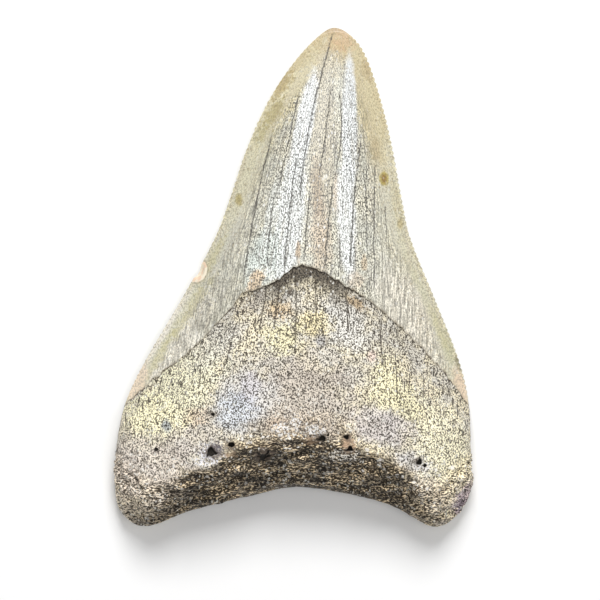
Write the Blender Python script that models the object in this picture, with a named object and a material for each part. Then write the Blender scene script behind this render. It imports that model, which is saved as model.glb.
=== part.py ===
"""A megalodon tooth, 85 mm long, lying on its flat outer face.

X runs across the tooth, Y runs from the root to the tip, and Z is up. The
flat outer (labial) face is at Z 0 and the bulging inner (lingual) face looks
up. The origin is the middle of the underside's box.

Every point of the skin has a place (across, along). Across runs from 0 at the
left outline to 1 at the right one. Along runs from 0 at the tip, through NECK
where the enamel ends and CREST where the root is thickest, to BASE, the lower
outline of the root.
"""

import math

import bmesh
import bpy
import numpy as np
from mathutils import Vector, noise

MM = 0.001

NECK, CREST, BASE = 1.0, 2.0, 3.0

# Where the crosswise lines meet the outline, in mm as are all the lines below.
LEFT_NECK, RIGHT_NECK = (-28.7, -21.8), (29.8, -21.8)
LEFT_CREST, RIGHT_CREST = (-30.1, -29.4), (30.1, -29.4)
LEFT_END, RIGHT_END = (-30.5, -34.5), (30.5, -35.3)
TIP = (7.0, 42.4)

# The outline from the left end of the root, over the tip, to the right end.
SIDES = np.array([
    LEFT_END, LEFT_CREST, LEFT_NECK, (-25.1, -14.1),
    (-19.1, -3.9), (-13.5, 6.3), (-10.6, 13.9), (-8.0, 21.6),
    (-4.2, 30.0), (0.1, 36.5), (4.2, 40.9),
    TIP,
    (9.9, 40.9), (12.4, 37.2), (14.9, 29.7), (16.8, 21.6),
    (18.2, 13.9), (19.9, 6.3), (24.0, -3.9), (28.0, -14.1),
    RIGHT_NECK, RIGHT_CREST, RIGHT_END,
]) * MM

# The lower outline, left to right: a lobe, the notch between, and a lobe.
UNDERSIDE = np.array([
    LEFT_END, (-29.4, -39.8), (-25.2, -42.4), (-18.0, -39.9),
    (-7.7, -37.3), (0.6, -35.7), (10.5, -37.1), (16.7, -38.9),
    (23.9, -42.4), (28.5, -39.8), RIGHT_END,
]) * MM

# Where the enamel ends on the bulging face, left to right.
ENAMEL_END = np.array([
    LEFT_NECK, (-25.2, -18.4), (-18.7, -13.4), (-12.8, -7.8),
    (-8.8, -3.1), (-6.6, -2.2), (-3.4, -0.9), (1.5, 1.9),
    (6.7, -0.2), (12.5, -3.9), (18.4, -8.8), (24.2, -14.6), RIGHT_NECK,
]) * MM

# Where it ends on the flat face, a lower and gentler arch.
FLAT_ENAMEL_END = np.array([
    LEFT_NECK, (-20.0, -17.6), (-9.0, -13.2), (1.0, -11.6),
    (11.0, -13.4), (21.0, -17.8), RIGHT_NECK,
]) * MM

# The crest of the root, where the bulging face turns down to the underside.
ROOT_CREST = np.array([
    LEFT_CREST, (-22.5, -34.0), (-12.5, -29.9), (0.6, -27.1),
    (14.5, -29.3), (23.0, -33.8), RIGHT_CREST,
]) * MM

# Heights above the flat face: of the outline, and of the middle of the bulge.
TIP_EDGE_HEIGHT = 1.5 * MM
CROWN_EDGE_HEIGHT = 2.3 * MM
ROOT_EDGE_HEIGHT = 4.6 * MM
BASE_EDGE_HEIGHT = 3.4 * MM
NECK_HEIGHT = 12.0 * MM
CREST_HEIGHT = 17.4 * MM

# How far along the tip's thinning and the root's rounding reach.
TIP_END = 0.3
ROOT_BLUNT = 1.5

# The section across: higher fullness is boxier, lower steepness is blunter.
CROWN_FULLNESS, ROOT_FULLNESS = 2.0, 2.6
CROWN_STEEPNESS, ROOT_STEEPNESS = 1.25, 0.55
UNDERSIDE_BEND = 1.8

# Two low lengthwise swells of the enamel, at these places across.
FOLD_PLACES = (0.30, 0.69)
FOLD_WIDTH = 0.09
FOLD_HEIGHT = 0.45 * MM
FOLD_START, FOLD_END = (0.05, 0.35), (NECK, 0.75)

# The enamel stands proud of the root by a step, this long in along.
ENAMEL_STEP = 0.45 * MM
STEP_LENGTH = 0.02

# The flat face: how far in from the outline it curves, and a shallow dish.
CROWN_CURVE, ROOT_CURVE = 0.42, 0.14
TIP_CURVE, BASE_CURVE = 0.08, 0.3
CROWN_ROUNDING, ROOT_ROUNDING, END_ROUNDING = 0.85, 0.6, 0.5
FLAT_STEP_END = (1.6, 1.1)
DISH_DEPTH = 0.7 * MM
DISH_PLACE, DISH_WIDTH = 0.5, 0.14
DISH_START = (1.2, 1.9)

SERRATIONS = 75
SERRATION_DEPTH = 0.24 * MM
SERRATIONS_PER_ROW = 3
SERRATION_START, SERRATION_END = (0.02, 0.08), (NECK, 0.95)

# The root's worn surface, which is plain along the rim.
WORN_START = (NECK + STEP_LENGTH, 1.15)
RIM_WIDTH = 0.05
UNDERSIDE_START = (CREST - 0.1, CREST + 0.3)
LUMP_SIZE = 5.0 * MM
LUMP_HEIGHT = 0.60 * MM
GRAIN_SIZE = 2.6 * MM
GRAIN_HEIGHT = 0.25 * MM
LEDGE_SPACING = 4.2 * MM
LEDGE_HEIGHT = 0.32 * MM

COLUMNS = 42
EDGE_CROWDING = 0.62
ROOT_ROWS = 18
UNDERSIDE_ROWS = 10

# Nutrient holes and bigger pores of the root: x, y, radius, depth in mm.
PORES = (
    (-13.6, -23.2, 0.35, 0.6),
    (-10.6, -28.4, 0.55, 1.4),
    (-13.8, -29.8, 0.85, 0.7),
    (4.7, -27.4, 0.60, 1.4),
    (8.9, -27.0, 0.50, 1.2),
    (9.3, -29.1, 0.55, 1.3),
    (21.2, -31.4, 0.60, 1.2),
    (-23.2, -29.2, 0.50, 0.8),
    (-5.0, -30.2, 0.95, 0.8),
    (-26.6, -34.0, 0.45, 0.7),
)
PORE_SIDES = 8
PORE_BOTTOM = 0.55
PORE_CLEARANCE = 1.0 * MM

# Old breaks, each scooped out by a ball: its centre and radius in mm.
CHIPS = (
    (-17.3, 1.5, 3.6, 2.2),
    (33.4, -41.3, 7.5, 6.2),
)
CHIP_SEGMENTS = 20

MERGE_DISTANCE = 0.001 * MM
BONE_COLOUR = (0.42, 0.37, 0.27, 1.0)
BONE_ROUGHNESS = 0.6
SMOOTH_BELOW = math.radians(35)


def smooth_line(points, steps=16):
    """Catmull-Rom points along a line that passes through every given point."""
    ends = [2 * points[0] - points[1], *points, 2 * points[-1] - points[-2]]
    t = np.linspace(0, 1, steps, endpoint=False)[:, None]
    found = []
    for a, b, c, d in zip(ends, ends[1:], ends[2:], ends[3:]):
        bend = (2 * a - 5 * b + 4 * c - d) * t**2 + (3 * b - a - 3 * c + d) * t**3
        found.append(b + ((c - a) * t + bend) / 2)
    return np.vstack([*found, points[-1:]])


def run_of(line):
    """The length along a line at each of its points."""
    steps = np.linalg.norm(np.diff(line, axis=0), axis=1)
    return np.concatenate([[0], np.cumsum(steps)])


def at(line, run, wanted):
    """The points of a line where its length so far is as wanted."""
    return np.stack([np.interp(wanted, run, line[:, k]) for k in (0, 1)], axis=-1)


def ease(low, high, value):
    """0 below low, 1 above high, and smooth between."""
    t = np.clip((value - low) / (high - low), 0, 1)
    return t * t * (3 - 2 * t)


def mix(a, b, share):
    return a + (b - a) * share


def hump(centre, width, value):
    return np.exp(-(((value - centre) / width) ** 2))


class Side:
    """One side of the outline, followed from the tip down to the root's end."""

    def __init__(self, line):
        self.line = line
        self.run = run_of(line)
        falling = -line[:, 1]
        heights = (ENAMEL_END[0, 1], ROOT_CREST[0, 1])
        neck, crest = (np.interp(-y, falling, self.run) for y in heights)
        self.keys = [0, neck, crest, self.run[-1]]

    def place(self, along):
        run = np.interp(along, [0, NECK, CREST, BASE], self.keys)
        return at(self.line, self.run, run)


def both_sides():
    line = smooth_line(SIDES)
    tip = np.argmax(line[:, 1])
    return Side(line[tip::-1]), Side(line[tip:])


LEFT, RIGHT = both_sides()


def straight_row(across, along):
    """The point on the straight row between the two sides."""
    return mix(LEFT.place(along), RIGHT.place(along), across[:, None])


def arch_of(line, across, along):
    """How far a crosswise line lies from the straight row with the same ends."""
    straight = straight_row(across, np.full_like(across, along))
    drawn = smooth_line(line)
    arch = np.zeros_like(straight)
    arch[:, 1] = np.interp(straight[:, 0], drawn[:, 0], drawn[:, 1]) - straight[:, 1]
    return arch


def underside_arch(across):
    drawn = smooth_line(UNDERSIDE)
    run = run_of(drawn)
    straight = straight_row(across, np.full_like(across, BASE))
    return at(drawn, run, across * run[-1]) - straight


def crown_share(along):
    """0 at the tip and 1 at the neck, by height rather than along the edge."""
    middle = np.full_like(along, 0.5)
    tip, row, neck = (
        straight_row(middle, place)[:, 1]
        for place in (np.zeros_like(along), np.minimum(along, NECK), NECK + 0 * along)
    )
    return (tip - row) / (tip - neck)


def plan(across, along, enamel_end, crest=None):
    """Where a place lies in X and Y."""
    neck = arch_of(enamel_end, across, NECK)
    base = underside_arch(across)
    below = np.clip(along - NECK, 0, BASE - NECK)[:, None]
    root = mix(neck, base, below / (BASE - NECK))
    if crest is not None:
        ridge = arch_of(crest, across, CREST)
        upper = mix(neck, ridge, np.minimum(below, 1))
        root = mix(upper, base, np.clip(below - 1, 0, 1))
    crown = neck * crown_share(along)[:, None]
    arch = np.where((along <= NECK)[:, None], crown, root)
    return straight_row(across, along) + arch


def edge_height(along):
    tip = mix(TIP_EDGE_HEIGHT, CROWN_EDGE_HEIGHT, ease(0, TIP_END, along))
    root = mix(tip, ROOT_EDGE_HEIGHT, ease(NECK, ROOT_BLUNT, along))
    return mix(root, BASE_EDGE_HEIGHT, ease(CREST, BASE, along))


def middle_height(along):
    """The height of the bulging face along the tooth's middle."""
    crown = NECK_HEIGHT * np.sqrt(crown_share(along))
    rise = np.sin(np.clip(along - NECK, 0, 1) * math.pi / 2)
    root = mix(NECK_HEIGHT - ENAMEL_STEP, CREST_HEIGHT, rise)
    fall = np.clip(along - CREST, 0, 1) ** UNDERSIDE_BEND
    under = mix(CREST_HEIGHT, edge_height(along), fall)
    height = np.where(along <= NECK, crown, np.where(along <= CREST, root, under))
    return np.maximum(height, edge_height(along))


def bulge(across, along):
    """0 at the outline and 1 at the middle: thin-edged enamel, then a blunt root."""
    inward = 1 - np.abs(2 * across - 1)
    blunt = ease(NECK, ROOT_BLUNT, along)
    fullness = mix(CROWN_FULLNESS, ROOT_FULLNESS, blunt)
    steepness = mix(CROWN_STEEPNESS, ROOT_STEEPNESS, blunt)
    return (1 - (1 - inward) ** fullness) ** steepness


def folds(across, along):
    """The enamel's swells, which fade out at the tip and before the neck."""
    swells = sum(hump(place, FOLD_WIDTH, across) for place in FOLD_PLACES)
    return FOLD_HEIGHT * swells * ease(*FOLD_START, along) * ease(*FOLD_END, along)


def serrate(points, across, along):
    """Moves the outline of the enamel in and out by the serrations."""
    step = 0.01
    for side, place, turn in ((LEFT, 0, -1), (RIGHT, 1, 1)):
        edge = (across == place) & (along < NECK)
        tangent = side.place(along[edge] + step) - side.place(along[edge] - step)
        outward = np.stack([-tangent[:, 1], tangent[:, 0]], axis=-1) * turn
        outward /= np.linalg.norm(outward, axis=1, keepdims=True)
        point = np.abs(np.sin(math.pi * along[edge] * SERRATIONS / NECK))
        fade = ease(*SERRATION_START, along[edge]) * ease(*SERRATION_END, along[edge])
        push = (point - 0.5) * fade * SERRATION_DEPTH
        points[edge, :2] += outward * push[:, None]


def worn(points, along, inward):
    """Height of the root's lumps, ledges and grain. It is nothing on the rim."""
    from_rim = np.minimum(inward, (BASE - along) / 2)
    amount = ease(*WORN_START, along) * ease(0, RIM_WIDTH, from_rim)
    underside = ease(*UNDERSIDE_START, along)
    found = np.zeros(len(points))
    for n in np.nonzero(amount)[0]:
        place = Vector(points[n])
        lump = noise.noise(place / LUMP_SIZE)
        grain = noise.noise(place / GRAIN_SIZE + Vector((7, 3, 1)))
        wave = noise.noise(place / LUMP_SIZE + Vector((0, 9, 4)))
        ledge = math.sin(2 * math.pi * (place.z / LEDGE_SPACING + wave))
        height = LUMP_HEIGHT * lump + GRAIN_HEIGHT * grain
        found[n] = height + LEDGE_HEIGHT * ledge * underside[n]
    return found * amount


def bulging_face(across, along):
    inward = 1 - np.abs(2 * across - 1)
    points = np.zeros((len(across), 3))
    points[:, :2] = plan(across, along, ENAMEL_END, ROOT_CREST)
    rise = middle_height(along) - edge_height(along)
    points[:, 2] = edge_height(along) + rise * bulge(across, along)
    points[:, 2] += folds(across, along)
    relief = worn(points, along, inward)
    points[:, 2] += relief
    points[:, 1] -= relief * ease(*UNDERSIDE_START, along)
    serrate(points, across, along)
    return points


def rounding(distance, reach, power):
    """0 on the outline and 1 once this far in, along a rounded edge."""
    return (1 - (1 - np.clip(distance / reach, 0, 1)) ** 2) ** power


def flat_face(across, along):
    inward = 1 - np.abs(2 * across - 1)
    points = np.zeros((len(across), 3))
    points[:, :2] = plan(across, along, FLAT_ENAMEL_END)
    blunt = ease(NECK, ROOT_BLUNT, along)
    curve = mix(CROWN_CURVE, ROOT_CURVE, blunt)
    flatness = rounding(inward, curve, mix(CROWN_ROUNDING, ROOT_ROUNDING, blunt))
    flatness *= rounding(crown_share(along), TIP_CURVE, END_ROUNDING)
    flatness *= rounding(BASE - along, BASE_CURVE, END_ROUNDING)
    points[:, 2] = edge_height(along) * (1 - flatness)
    step = ease(NECK, NECK + STEP_LENGTH, along) * ease(*FLAT_STEP_END, along)
    dish = hump(DISH_PLACE, DISH_WIDTH, across) * ease(*DISH_START, along)
    pits = np.maximum(worn(points, along, inward), 0)
    points[:, 2] += (ENAMEL_STEP * step + DISH_DEPTH * dish + pits) * flatness
    serrate(points, across, along)
    return points


def stations():
    """The places of the mesh's columns and rows."""
    even = np.linspace(0, 1, COLUMNS + 1)
    crowded = (1 - np.cos(math.pi * even)) / 2
    across = mix(even, crowded, EDGE_CROWDING)
    crown = np.linspace(0, NECK, SERRATIONS // SERRATIONS_PER_ROW + 1)
    root = np.linspace(NECK + STEP_LENGTH, CREST, ROOT_ROWS + 1)
    under = np.linspace(CREST, BASE, UNDERSIDE_ROWS + 1)[1:]
    return across, np.concatenate([crown, root, under])


def add_sheet(bm, face):
    """Adds one face of the tooth: a grid primitive, laid over the face's shape."""
    across, along = stations()
    columns, rows = len(across) - 1, len(along) - 1
    first, first_edge = len(bm.verts), len(bm.edges)
    bmesh.ops.create_grid(bm, x_segments=columns, y_segments=rows, size=0.5)
    for vertex in list(bm.verts)[first:]:
        column = round((vertex.co.x + 0.5) * columns)
        row = round((vertex.co.y + 0.5) * rows)
        vertex.co = (across[column], along[row], 0)
    cutting_edges = [
        edge
        for edge in list(bm.edges)[first_edge:]
        if edge.is_boundary
        and edge.verts[0].co.x == edge.verts[1].co.x
        and max(vertex.co.y for vertex in edge.verts) < NECK + STEP_LENGTH / 2
    ]
    bmesh.ops.subdivide_edges(bm, edges=cutting_edges, cuts=2 * SERRATIONS_PER_ROW - 1)
    beside_serrations = [cell for cell in bm.faces if len(cell.verts) > 4]
    bmesh.ops.poke(bm, faces=beside_serrations)
    made = list(bm.verts)[first:]
    places = np.array([v.co[:2] for v in made])
    for vertex, point in zip(made, face(places[:, 0], places[:, 1])):
        vertex.co = point


def make_bone_material():
    material = bpy.data.materials.new("fossil_tooth")
    material.use_nodes = True
    shader = material.node_tree.nodes["Principled BSDF"]
    shader.inputs["Base Color"].default_value = BONE_COLOUR
    shader.inputs["Roughness"].default_value = BONE_ROUGHNESS
    shader.inputs["Metallic"].default_value = 0.0
    material.diffuse_color = BONE_COLOUR
    return material


def make_tooth(collection):
    """Both faces, joined along the outline into one closed solid."""
    bm = bmesh.new()
    add_sheet(bm, bulging_face)
    add_sheet(bm, flat_face)
    bmesh.ops.remove_doubles(bm, verts=bm.verts, dist=MERGE_DISTANCE)
    bmesh.ops.recalc_face_normals(bm, faces=bm.faces)
    mesh = bpy.data.meshes.new("tooth")
    bm.to_mesh(mesh)
    bm.free()
    mesh.materials.append(make_bone_material())
    mesh.shade_smooth()
    mesh.set_sharp_from_angle(angle=SMOOTH_BELOW)
    tooth = bpy.data.objects.new("tooth", mesh)
    collection.objects.link(tooth)
    return tooth


def finish_cutter(collection, name):
    """Names the newest object, and puts it among the cutters."""
    cutter = bpy.context.object
    cutter.name = name
    cutter.hide_render = True
    cutter.display_type = "WIRE"
    for owner in cutter.users_collection:
        owner.objects.unlink(cutter)
    collection.objects.link(cutter)


def make_pore(tooth, collection, number, x, y, radius, depth):
    """A tapered plug, wide end out, that cuts one hole into the root."""
    above_it = Vector((x, y, 2 * CREST_HEIGHT))
    hit, point, normal, _ = tooth.ray_cast(above_it, Vector((0, 0, -1)))
    if not hit:
        raise ValueError("a pore lies outside the tooth")
    widening = PORE_CLEARANCE / depth * (1 - PORE_BOTTOM)
    bpy.ops.mesh.primitive_cone_add(
        vertices=PORE_SIDES,
        radius1=radius * PORE_BOTTOM,
        radius2=radius * (1 + widening),
        depth=depth + PORE_CLEARANCE,
        location=point + normal * (PORE_CLEARANCE - depth) / 2,
        rotation=normal.to_track_quat("Z", "Y").to_euler(),
    )
    finish_cutter(collection, f"pore_cutter_{number}")


def make_chip(collection, number, centre, radius):
    bpy.ops.mesh.primitive_uv_sphere_add(
        segments=CHIP_SEGMENTS,
        ring_count=CHIP_SEGMENTS // 2,
        radius=radius,
        location=centre,
    )
    finish_cutter(collection, f"chip_cutter_{number}")


def new_collection(name):
    collection = bpy.data.collections.new(name)
    bpy.context.scene.collection.children.link(collection)
    return collection


def main():
    for obj in list(bpy.data.objects):
        bpy.data.objects.remove(obj)
    tooth = make_tooth(new_collection("megalodon_tooth"))
    cutters = new_collection("cutters")
    bpy.context.view_layer.update()
    for number, (x, y, radius, depth) in enumerate(PORES, start=1):
        make_pore(tooth, cutters, number, x * MM, y * MM, radius * MM, depth * MM)
    for number, (x, y, z, radius) in enumerate(CHIPS, start=1):
        make_chip(cutters, number, Vector((x, y, z)) * MM, radius * MM)
    wear = tooth.modifiers.new("pores_and_chips", "BOOLEAN")
    wear.operand_type = "COLLECTION"
    wear.collection = cutters
    wear.operation = "DIFFERENCE"
    wear.solver = "EXACT"


main()
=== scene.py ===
"""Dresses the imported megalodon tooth: a finer skin, its finishes and the stage.

The tooth lies on its flat face with the bulging face up. X runs across it, Y
runs from the root to the tip. Every point of the skin has a place (across,
along): across from 0 at the left outline to 1 at the right one, along from 0
at the tip, through NECK where the enamel ends and CREST where the root is
thickest, to BASE, the lower outline of the root.
"""

import math

import bmesh
import bpy
import numpy as np
from bpy.props import FloatProperty, FloatVectorProperty, IntProperty, PointerProperty
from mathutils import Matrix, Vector, noise


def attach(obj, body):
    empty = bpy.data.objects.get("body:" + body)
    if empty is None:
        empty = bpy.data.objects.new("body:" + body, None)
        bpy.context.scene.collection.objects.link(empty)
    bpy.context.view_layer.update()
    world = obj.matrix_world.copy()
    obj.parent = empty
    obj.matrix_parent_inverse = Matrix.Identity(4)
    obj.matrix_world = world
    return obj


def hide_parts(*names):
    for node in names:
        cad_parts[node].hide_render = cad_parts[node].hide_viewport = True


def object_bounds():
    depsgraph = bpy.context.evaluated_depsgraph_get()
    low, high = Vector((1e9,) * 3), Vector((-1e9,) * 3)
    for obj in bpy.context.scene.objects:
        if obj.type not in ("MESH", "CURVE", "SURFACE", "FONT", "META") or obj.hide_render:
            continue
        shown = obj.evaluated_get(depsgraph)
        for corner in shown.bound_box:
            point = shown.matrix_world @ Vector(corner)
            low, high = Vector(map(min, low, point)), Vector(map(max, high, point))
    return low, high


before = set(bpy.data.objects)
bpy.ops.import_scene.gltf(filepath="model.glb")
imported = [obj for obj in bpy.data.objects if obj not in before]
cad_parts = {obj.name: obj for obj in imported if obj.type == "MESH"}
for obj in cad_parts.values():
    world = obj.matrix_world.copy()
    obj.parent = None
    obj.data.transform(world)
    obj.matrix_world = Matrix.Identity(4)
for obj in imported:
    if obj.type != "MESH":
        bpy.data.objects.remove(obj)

bl_info = {
    "name": "Fossil Tooth",
    "version": (1, 0, 0),
    "blender": (4, 5, 0),
    "location": "3D View > Sidebar > Fossil Tooth",
    "description": "Makes a fossil shark tooth with worn enamel and a porous root",
    "category": "Object",
}

CAD_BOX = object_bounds()

MM = 0.001
NECK, CREST, BASE = 1.0, 2.0, 3.0

# Where the crosswise lines meet the outline, in mm as are all the lines below.
LEFT_NECK, RIGHT_NECK = (-28.7, -21.8), (29.8, -21.8)
LEFT_CREST, RIGHT_CREST = (-30.1, -29.4), (30.1, -29.4)
LEFT_END, RIGHT_END = (-30.5, -34.5), (30.5, -35.3)
TIP = (7.0, 42.4)

# The outline from the left end of the root, over the tip, to the right end.
SIDES = np.array([
    LEFT_END, LEFT_CREST, LEFT_NECK, (-25.1, -14.1),
    (-19.1, -3.9), (-13.5, 6.3), (-10.6, 13.9), (-8.0, 21.6),
    (-4.2, 30.0), (0.1, 36.5), (4.2, 40.9),
    TIP,
    (9.9, 40.9), (12.4, 37.2), (14.9, 29.7), (16.8, 21.6),
    (18.2, 13.9), (19.9, 6.3), (24.0, -3.9), (28.0, -14.1),
    RIGHT_NECK, RIGHT_CREST, RIGHT_END,
]) * MM

# The lower outline, left to right: a lobe, the notch between, and a lobe.
UNDERSIDE = np.array([
    LEFT_END, (-29.4, -39.8), (-25.2, -42.4), (-18.0, -39.9),
    (-7.7, -37.3), (0.6, -35.7), (10.5, -37.1), (16.7, -38.9),
    (23.9, -42.4), (28.5, -39.8), RIGHT_END,
]) * MM

# Where the enamel ends on the bulging face, left to right.
ENAMEL_END = np.array([
    LEFT_NECK, (-25.2, -18.4), (-18.7, -13.4), (-12.8, -7.8),
    (-8.8, -3.1), (-6.6, -2.2), (-3.4, -0.9), (1.5, 1.9),
    (6.7, -0.2), (12.5, -3.9), (18.4, -8.8), (24.2, -14.6), RIGHT_NECK,
]) * MM

# Where it ends on the flat face, a lower and gentler arch.
FLAT_ENAMEL_END = np.array([
    LEFT_NECK, (-20.0, -17.6), (-9.0, -13.2), (1.0, -11.6),
    (11.0, -13.4), (21.0, -17.8), RIGHT_NECK,
]) * MM

# The crest of the root, where the bulging face turns down to the underside.
ROOT_CREST = np.array([
    LEFT_CREST, (-22.5, -34.0), (-12.5, -29.9), (0.6, -27.1),
    (14.5, -29.3), (23.0, -33.8), RIGHT_CREST,
]) * MM

# Heights above the flat face: of the outline, and of the middle of the bulge.
TIP_EDGE_HEIGHT = 1.5 * MM
CROWN_EDGE_HEIGHT = 2.3 * MM
ROOT_EDGE_HEIGHT = 4.6 * MM
BASE_EDGE_HEIGHT = 3.4 * MM
NECK_HEIGHT = 12.0 * MM
CREST_HEIGHT = 17.4 * MM

# How far along the tip's thinning and the root's rounding reach.
TIP_END = 0.3
ROOT_BLUNT = 1.5

# The section across: higher fullness is boxier, lower steepness is blunter.
CROWN_FULLNESS, ROOT_FULLNESS = 2.0, 2.6
CROWN_STEEPNESS, ROOT_STEEPNESS = 1.25, 0.55
UNDERSIDE_BEND = 1.8

# Two low lengthwise swells of the enamel, at these places across.
FOLD_PLACES = (0.30, 0.69)
FOLD_WIDTH = 0.09
FOLD_HEIGHT = 0.45 * MM
FOLD_START, FOLD_END = (0.05, 0.35), (NECK, 0.75)

# The enamel stands proud of the root by a step. Its edge is ragged.
ENAMEL_STEP = 0.45 * MM
STEP_LENGTH = 0.02
STEP_WALL = 0.004
RAGGED_SIZE = 0.9 * MM
RAGGED_DEPTH = 0.55 * MM
RAGGED_REACH = 0.02

# The flat face: how far in from the outline it curves, and a shallow dish.
CROWN_CURVE, ROOT_CURVE = 0.42, 0.14
TIP_CURVE, BASE_CURVE = 0.08, 0.3
CROWN_ROUNDING, ROOT_ROUNDING, END_ROUNDING = 0.85, 0.6, 0.5
FLAT_STEP_END = (1.6, 1.1)
DISH_DEPTH = 0.7 * MM
DISH_PLACE, DISH_WIDTH = 0.5, 0.14
DISH_START = (1.2, 1.9)

# The root's worn surface, which is plain along the rim.
WORN_START = (NECK + STEP_LENGTH, 1.15)
RIM_WIDTH = 0.05
UNDERSIDE_START = (CREST - 0.1, CREST + 0.3)
LUMP_SIZE = 5.0 * MM
LUMP_HEIGHT = 0.60 * MM
GRAIN_SIZE = 2.6 * MM
GRAIN_HEIGHT = 0.25 * MM
LEDGE_SPACING = 4.2 * MM
LEDGE_HEIGHT = 0.32 * MM

# The serrations of the cutting edges, and how far in from the edge they reach.
SERRATIONS = 75
ROWS_PER_SERRATION = 3
SERRATION_START, SERRATION_END = (0.02, 0.08), (NECK, 0.95)
SERRATION_REACH = 1.1 * MM
SERRATION_WEAR_SIZE = 3.0 * MM
LEFT_WEAR, RIGHT_WEAR = (-0.55, 0.15), (0.35, 0.75)
SERRATION_WEAR = 0.75

# The mesh's columns and rows. The flat face's columns go evenly into the others.
COLUMNS = 168
FLAT_COLUMNS = 56
EDGE_CROWDING = 0.62
ROOT_ROWS = 84
UNDERSIDE_ROWS = 54
PORE_CUTS = 3

# How close together the enamel's fibres lie at some heights.
FAN_HEIGHTS = np.array([-22.0, 4.0, 20.0, 30.0, 42.0]) * MM
FAN_WIDTHS = (1.12, 1.0, 0.74, 0.54, 0.25)

# Nutrient holes and bigger pores of the root: x, y, radius, depth in mm.
PORES = (
    (-13.6, -23.2, 0.45, 0.8),
    (-10.6, -28.4, 0.66, 1.4),
    (-13.8, -29.7, 0.90, 1.0),
    (4.8, -27.4, 0.88, 1.5),
    (5.8, -26.7, 0.36, 0.8),
    (8.9, -27.0, 0.50, 1.2),
    (9.3, -29.1, 0.55, 1.3),
    (21.2, -31.3, 0.60, 1.2),
    (22.1, -31.9, 0.36, 0.7),
    (-23.2, -29.2, 0.28, 0.4),
    (-5.0, -30.2, 0.95, 0.8),
    (-26.3, -34.4, 0.35, 0.5),
)
PORE_REACH, HALO_REACH = 1.7, 2.6
PORE_RAGGEDNESS, PORE_LUMPS = 0.9, 0.7 * MM
PORE_WALL, PORE_HALO = (0.45, 1.0), (0.8, 2.2)

# Old breaks, each scooped out by a ball: its centre and radius in mm.
CHIPS = (
    (-17.3, 1.5, 3.6, 2.2),
    (33.4, -41.3, 7.5, 6.6),
)
CHIP_REACH = 1.3
CHIP_RAGGEDNESS, CHIP_LUMPS = 0.06, 0.8 * MM
CHIP_RIM = 0.8 * MM

# Hairline cracks of the enamel: upper end, lower end, bend and width in mm.
CRACKS = (
    ((6.9, 42.0), (0.9, 12.6), -0.85, 0.13),
    ((2.7, 14.1), (1.7, 2.5), 0.05, 0.10),
    ((0.5, 20.6), (-1.7, 0.4), -0.15, 0.12),
    ((1.1, 31.7), (-2.7, 14.1), -0.10, 0.10),
    ((-3.2, 14.0), (-4.4, 1.2), -0.30, 0.11),
    ((-3.6, 24.5), (-8.7, -2.0), -0.40, 0.12),
    ((6.3, 32.0), (4.2, 16.3), 0.15, 0.09),
    ((7.7, 31.6), (6.7, 16.0), 0.85, 0.09),
    ((6.7, 16.2), (5.3, 1.0), -0.10, 0.10),
    ((11.5, 23.4), (9.7, 0.6), -0.40, 0.12),
    ((13.9, 19.5), (13.8, -3.0), -0.20, 0.09),
    ((12.4, 19.5), (12.5, 4.0), -0.10, 0.08),
    ((7.9, 7.4), (7.9, 0.5), 0.00, 0.08),
    ((15.6, 12.2), (15.8, 6.0), 0.00, 0.07),
)

# Cracks that run on from the enamel into the top of the root.
ROOT_CRACKS = (
    ((-4.6, -1.8), (-5.9, -9.5), 0.10, 0.11),
    ((-2.3, -1.2), (-3.4, -9.0), 0.05, 0.10),
    ((0.4, 0.5), (0.2, -13.5), 0.10, 0.11),
    ((3.7, 0.2), (3.9, -8.5), 0.00, 0.09),
    ((8.8, -2.4), (9.3, -9.5), 0.10, 0.12),
    ((14.6, -6.8), (15.2, -15.5), -0.10, 0.10),
    ((-9.7, -7.5), (-12.0, -16.0), 0.20, 0.09),
    ((17.2, -12.5), (17.6, -20.5), 0.00, 0.09),
)

# Washes of the enamel's finish: the most that each covers, and its colour.
MARGIN_SHARE = 0.55
RIM_CREAM = (0.75, (0.74, 0.68, 0.46))
MOTTLE_BROWN = (0.42, (0.33, 0.29, 0.19))
BEAD_BROWN = (0.55, (0.30, 0.265, 0.17))
FRECKLE_BROWN = (0.58, (0.31, 0.235, 0.13))
STREAK_BROWN = (0.35, (0.50, 0.44, 0.34))
ENAMEL_SPECK = (0.55, (0.14, 0.13, 0.115))
ENAMEL_GLINT = (0.70, (0.93, 0.93, 0.91))
ENAMEL_CRACK = (0.95, (0.06, 0.055, 0.048))
LIP_BROWN = (0.6, (0.26, 0.21, 0.14))
CHIP_LINE = (0.55, (0.30, 0.25, 0.16))

# Plain colours, and pairs of a darker and a paler tone.
BAND_GREEN, ENAMEL_DASH = (0.50, 0.485, 0.34), (0.17, 0.16, 0.14)
HATCH_TONES = (0.66, 0.66, 0.64), (1.20, 1.20, 1.19)
ENAMEL_GRAIN_TONES = (0.20, 0.20, 0.19), (1.36, 1.36, 1.35)
CHIP_TONES = (0.82, 0.74, 0.58), (0.78, 0.58, 0.42)

# How far inside the outline some markings start and end, in mm.
MARGIN_REACH, RIM_REACH, BEAD_REACH = (5.5, 2.0), (0.9, 0.2), (1.8, 0.6)
FRECKLE_REACH = (6.5, 3.0)
BAND_OUTER, BAND_INNER = (0.5, 1.1), (2.5, 1.5)
HOLLOW_OUTER, HOLLOW_INNER = (0.7, 1.7), (3.2, 1.9)
CLEAN_MARGIN = (2.3, 3.9)

# How far from the middle, in mm, the enamel turns from grainy to hatched.
ENAMEL_SIDE = (9.0, 13.0)

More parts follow.
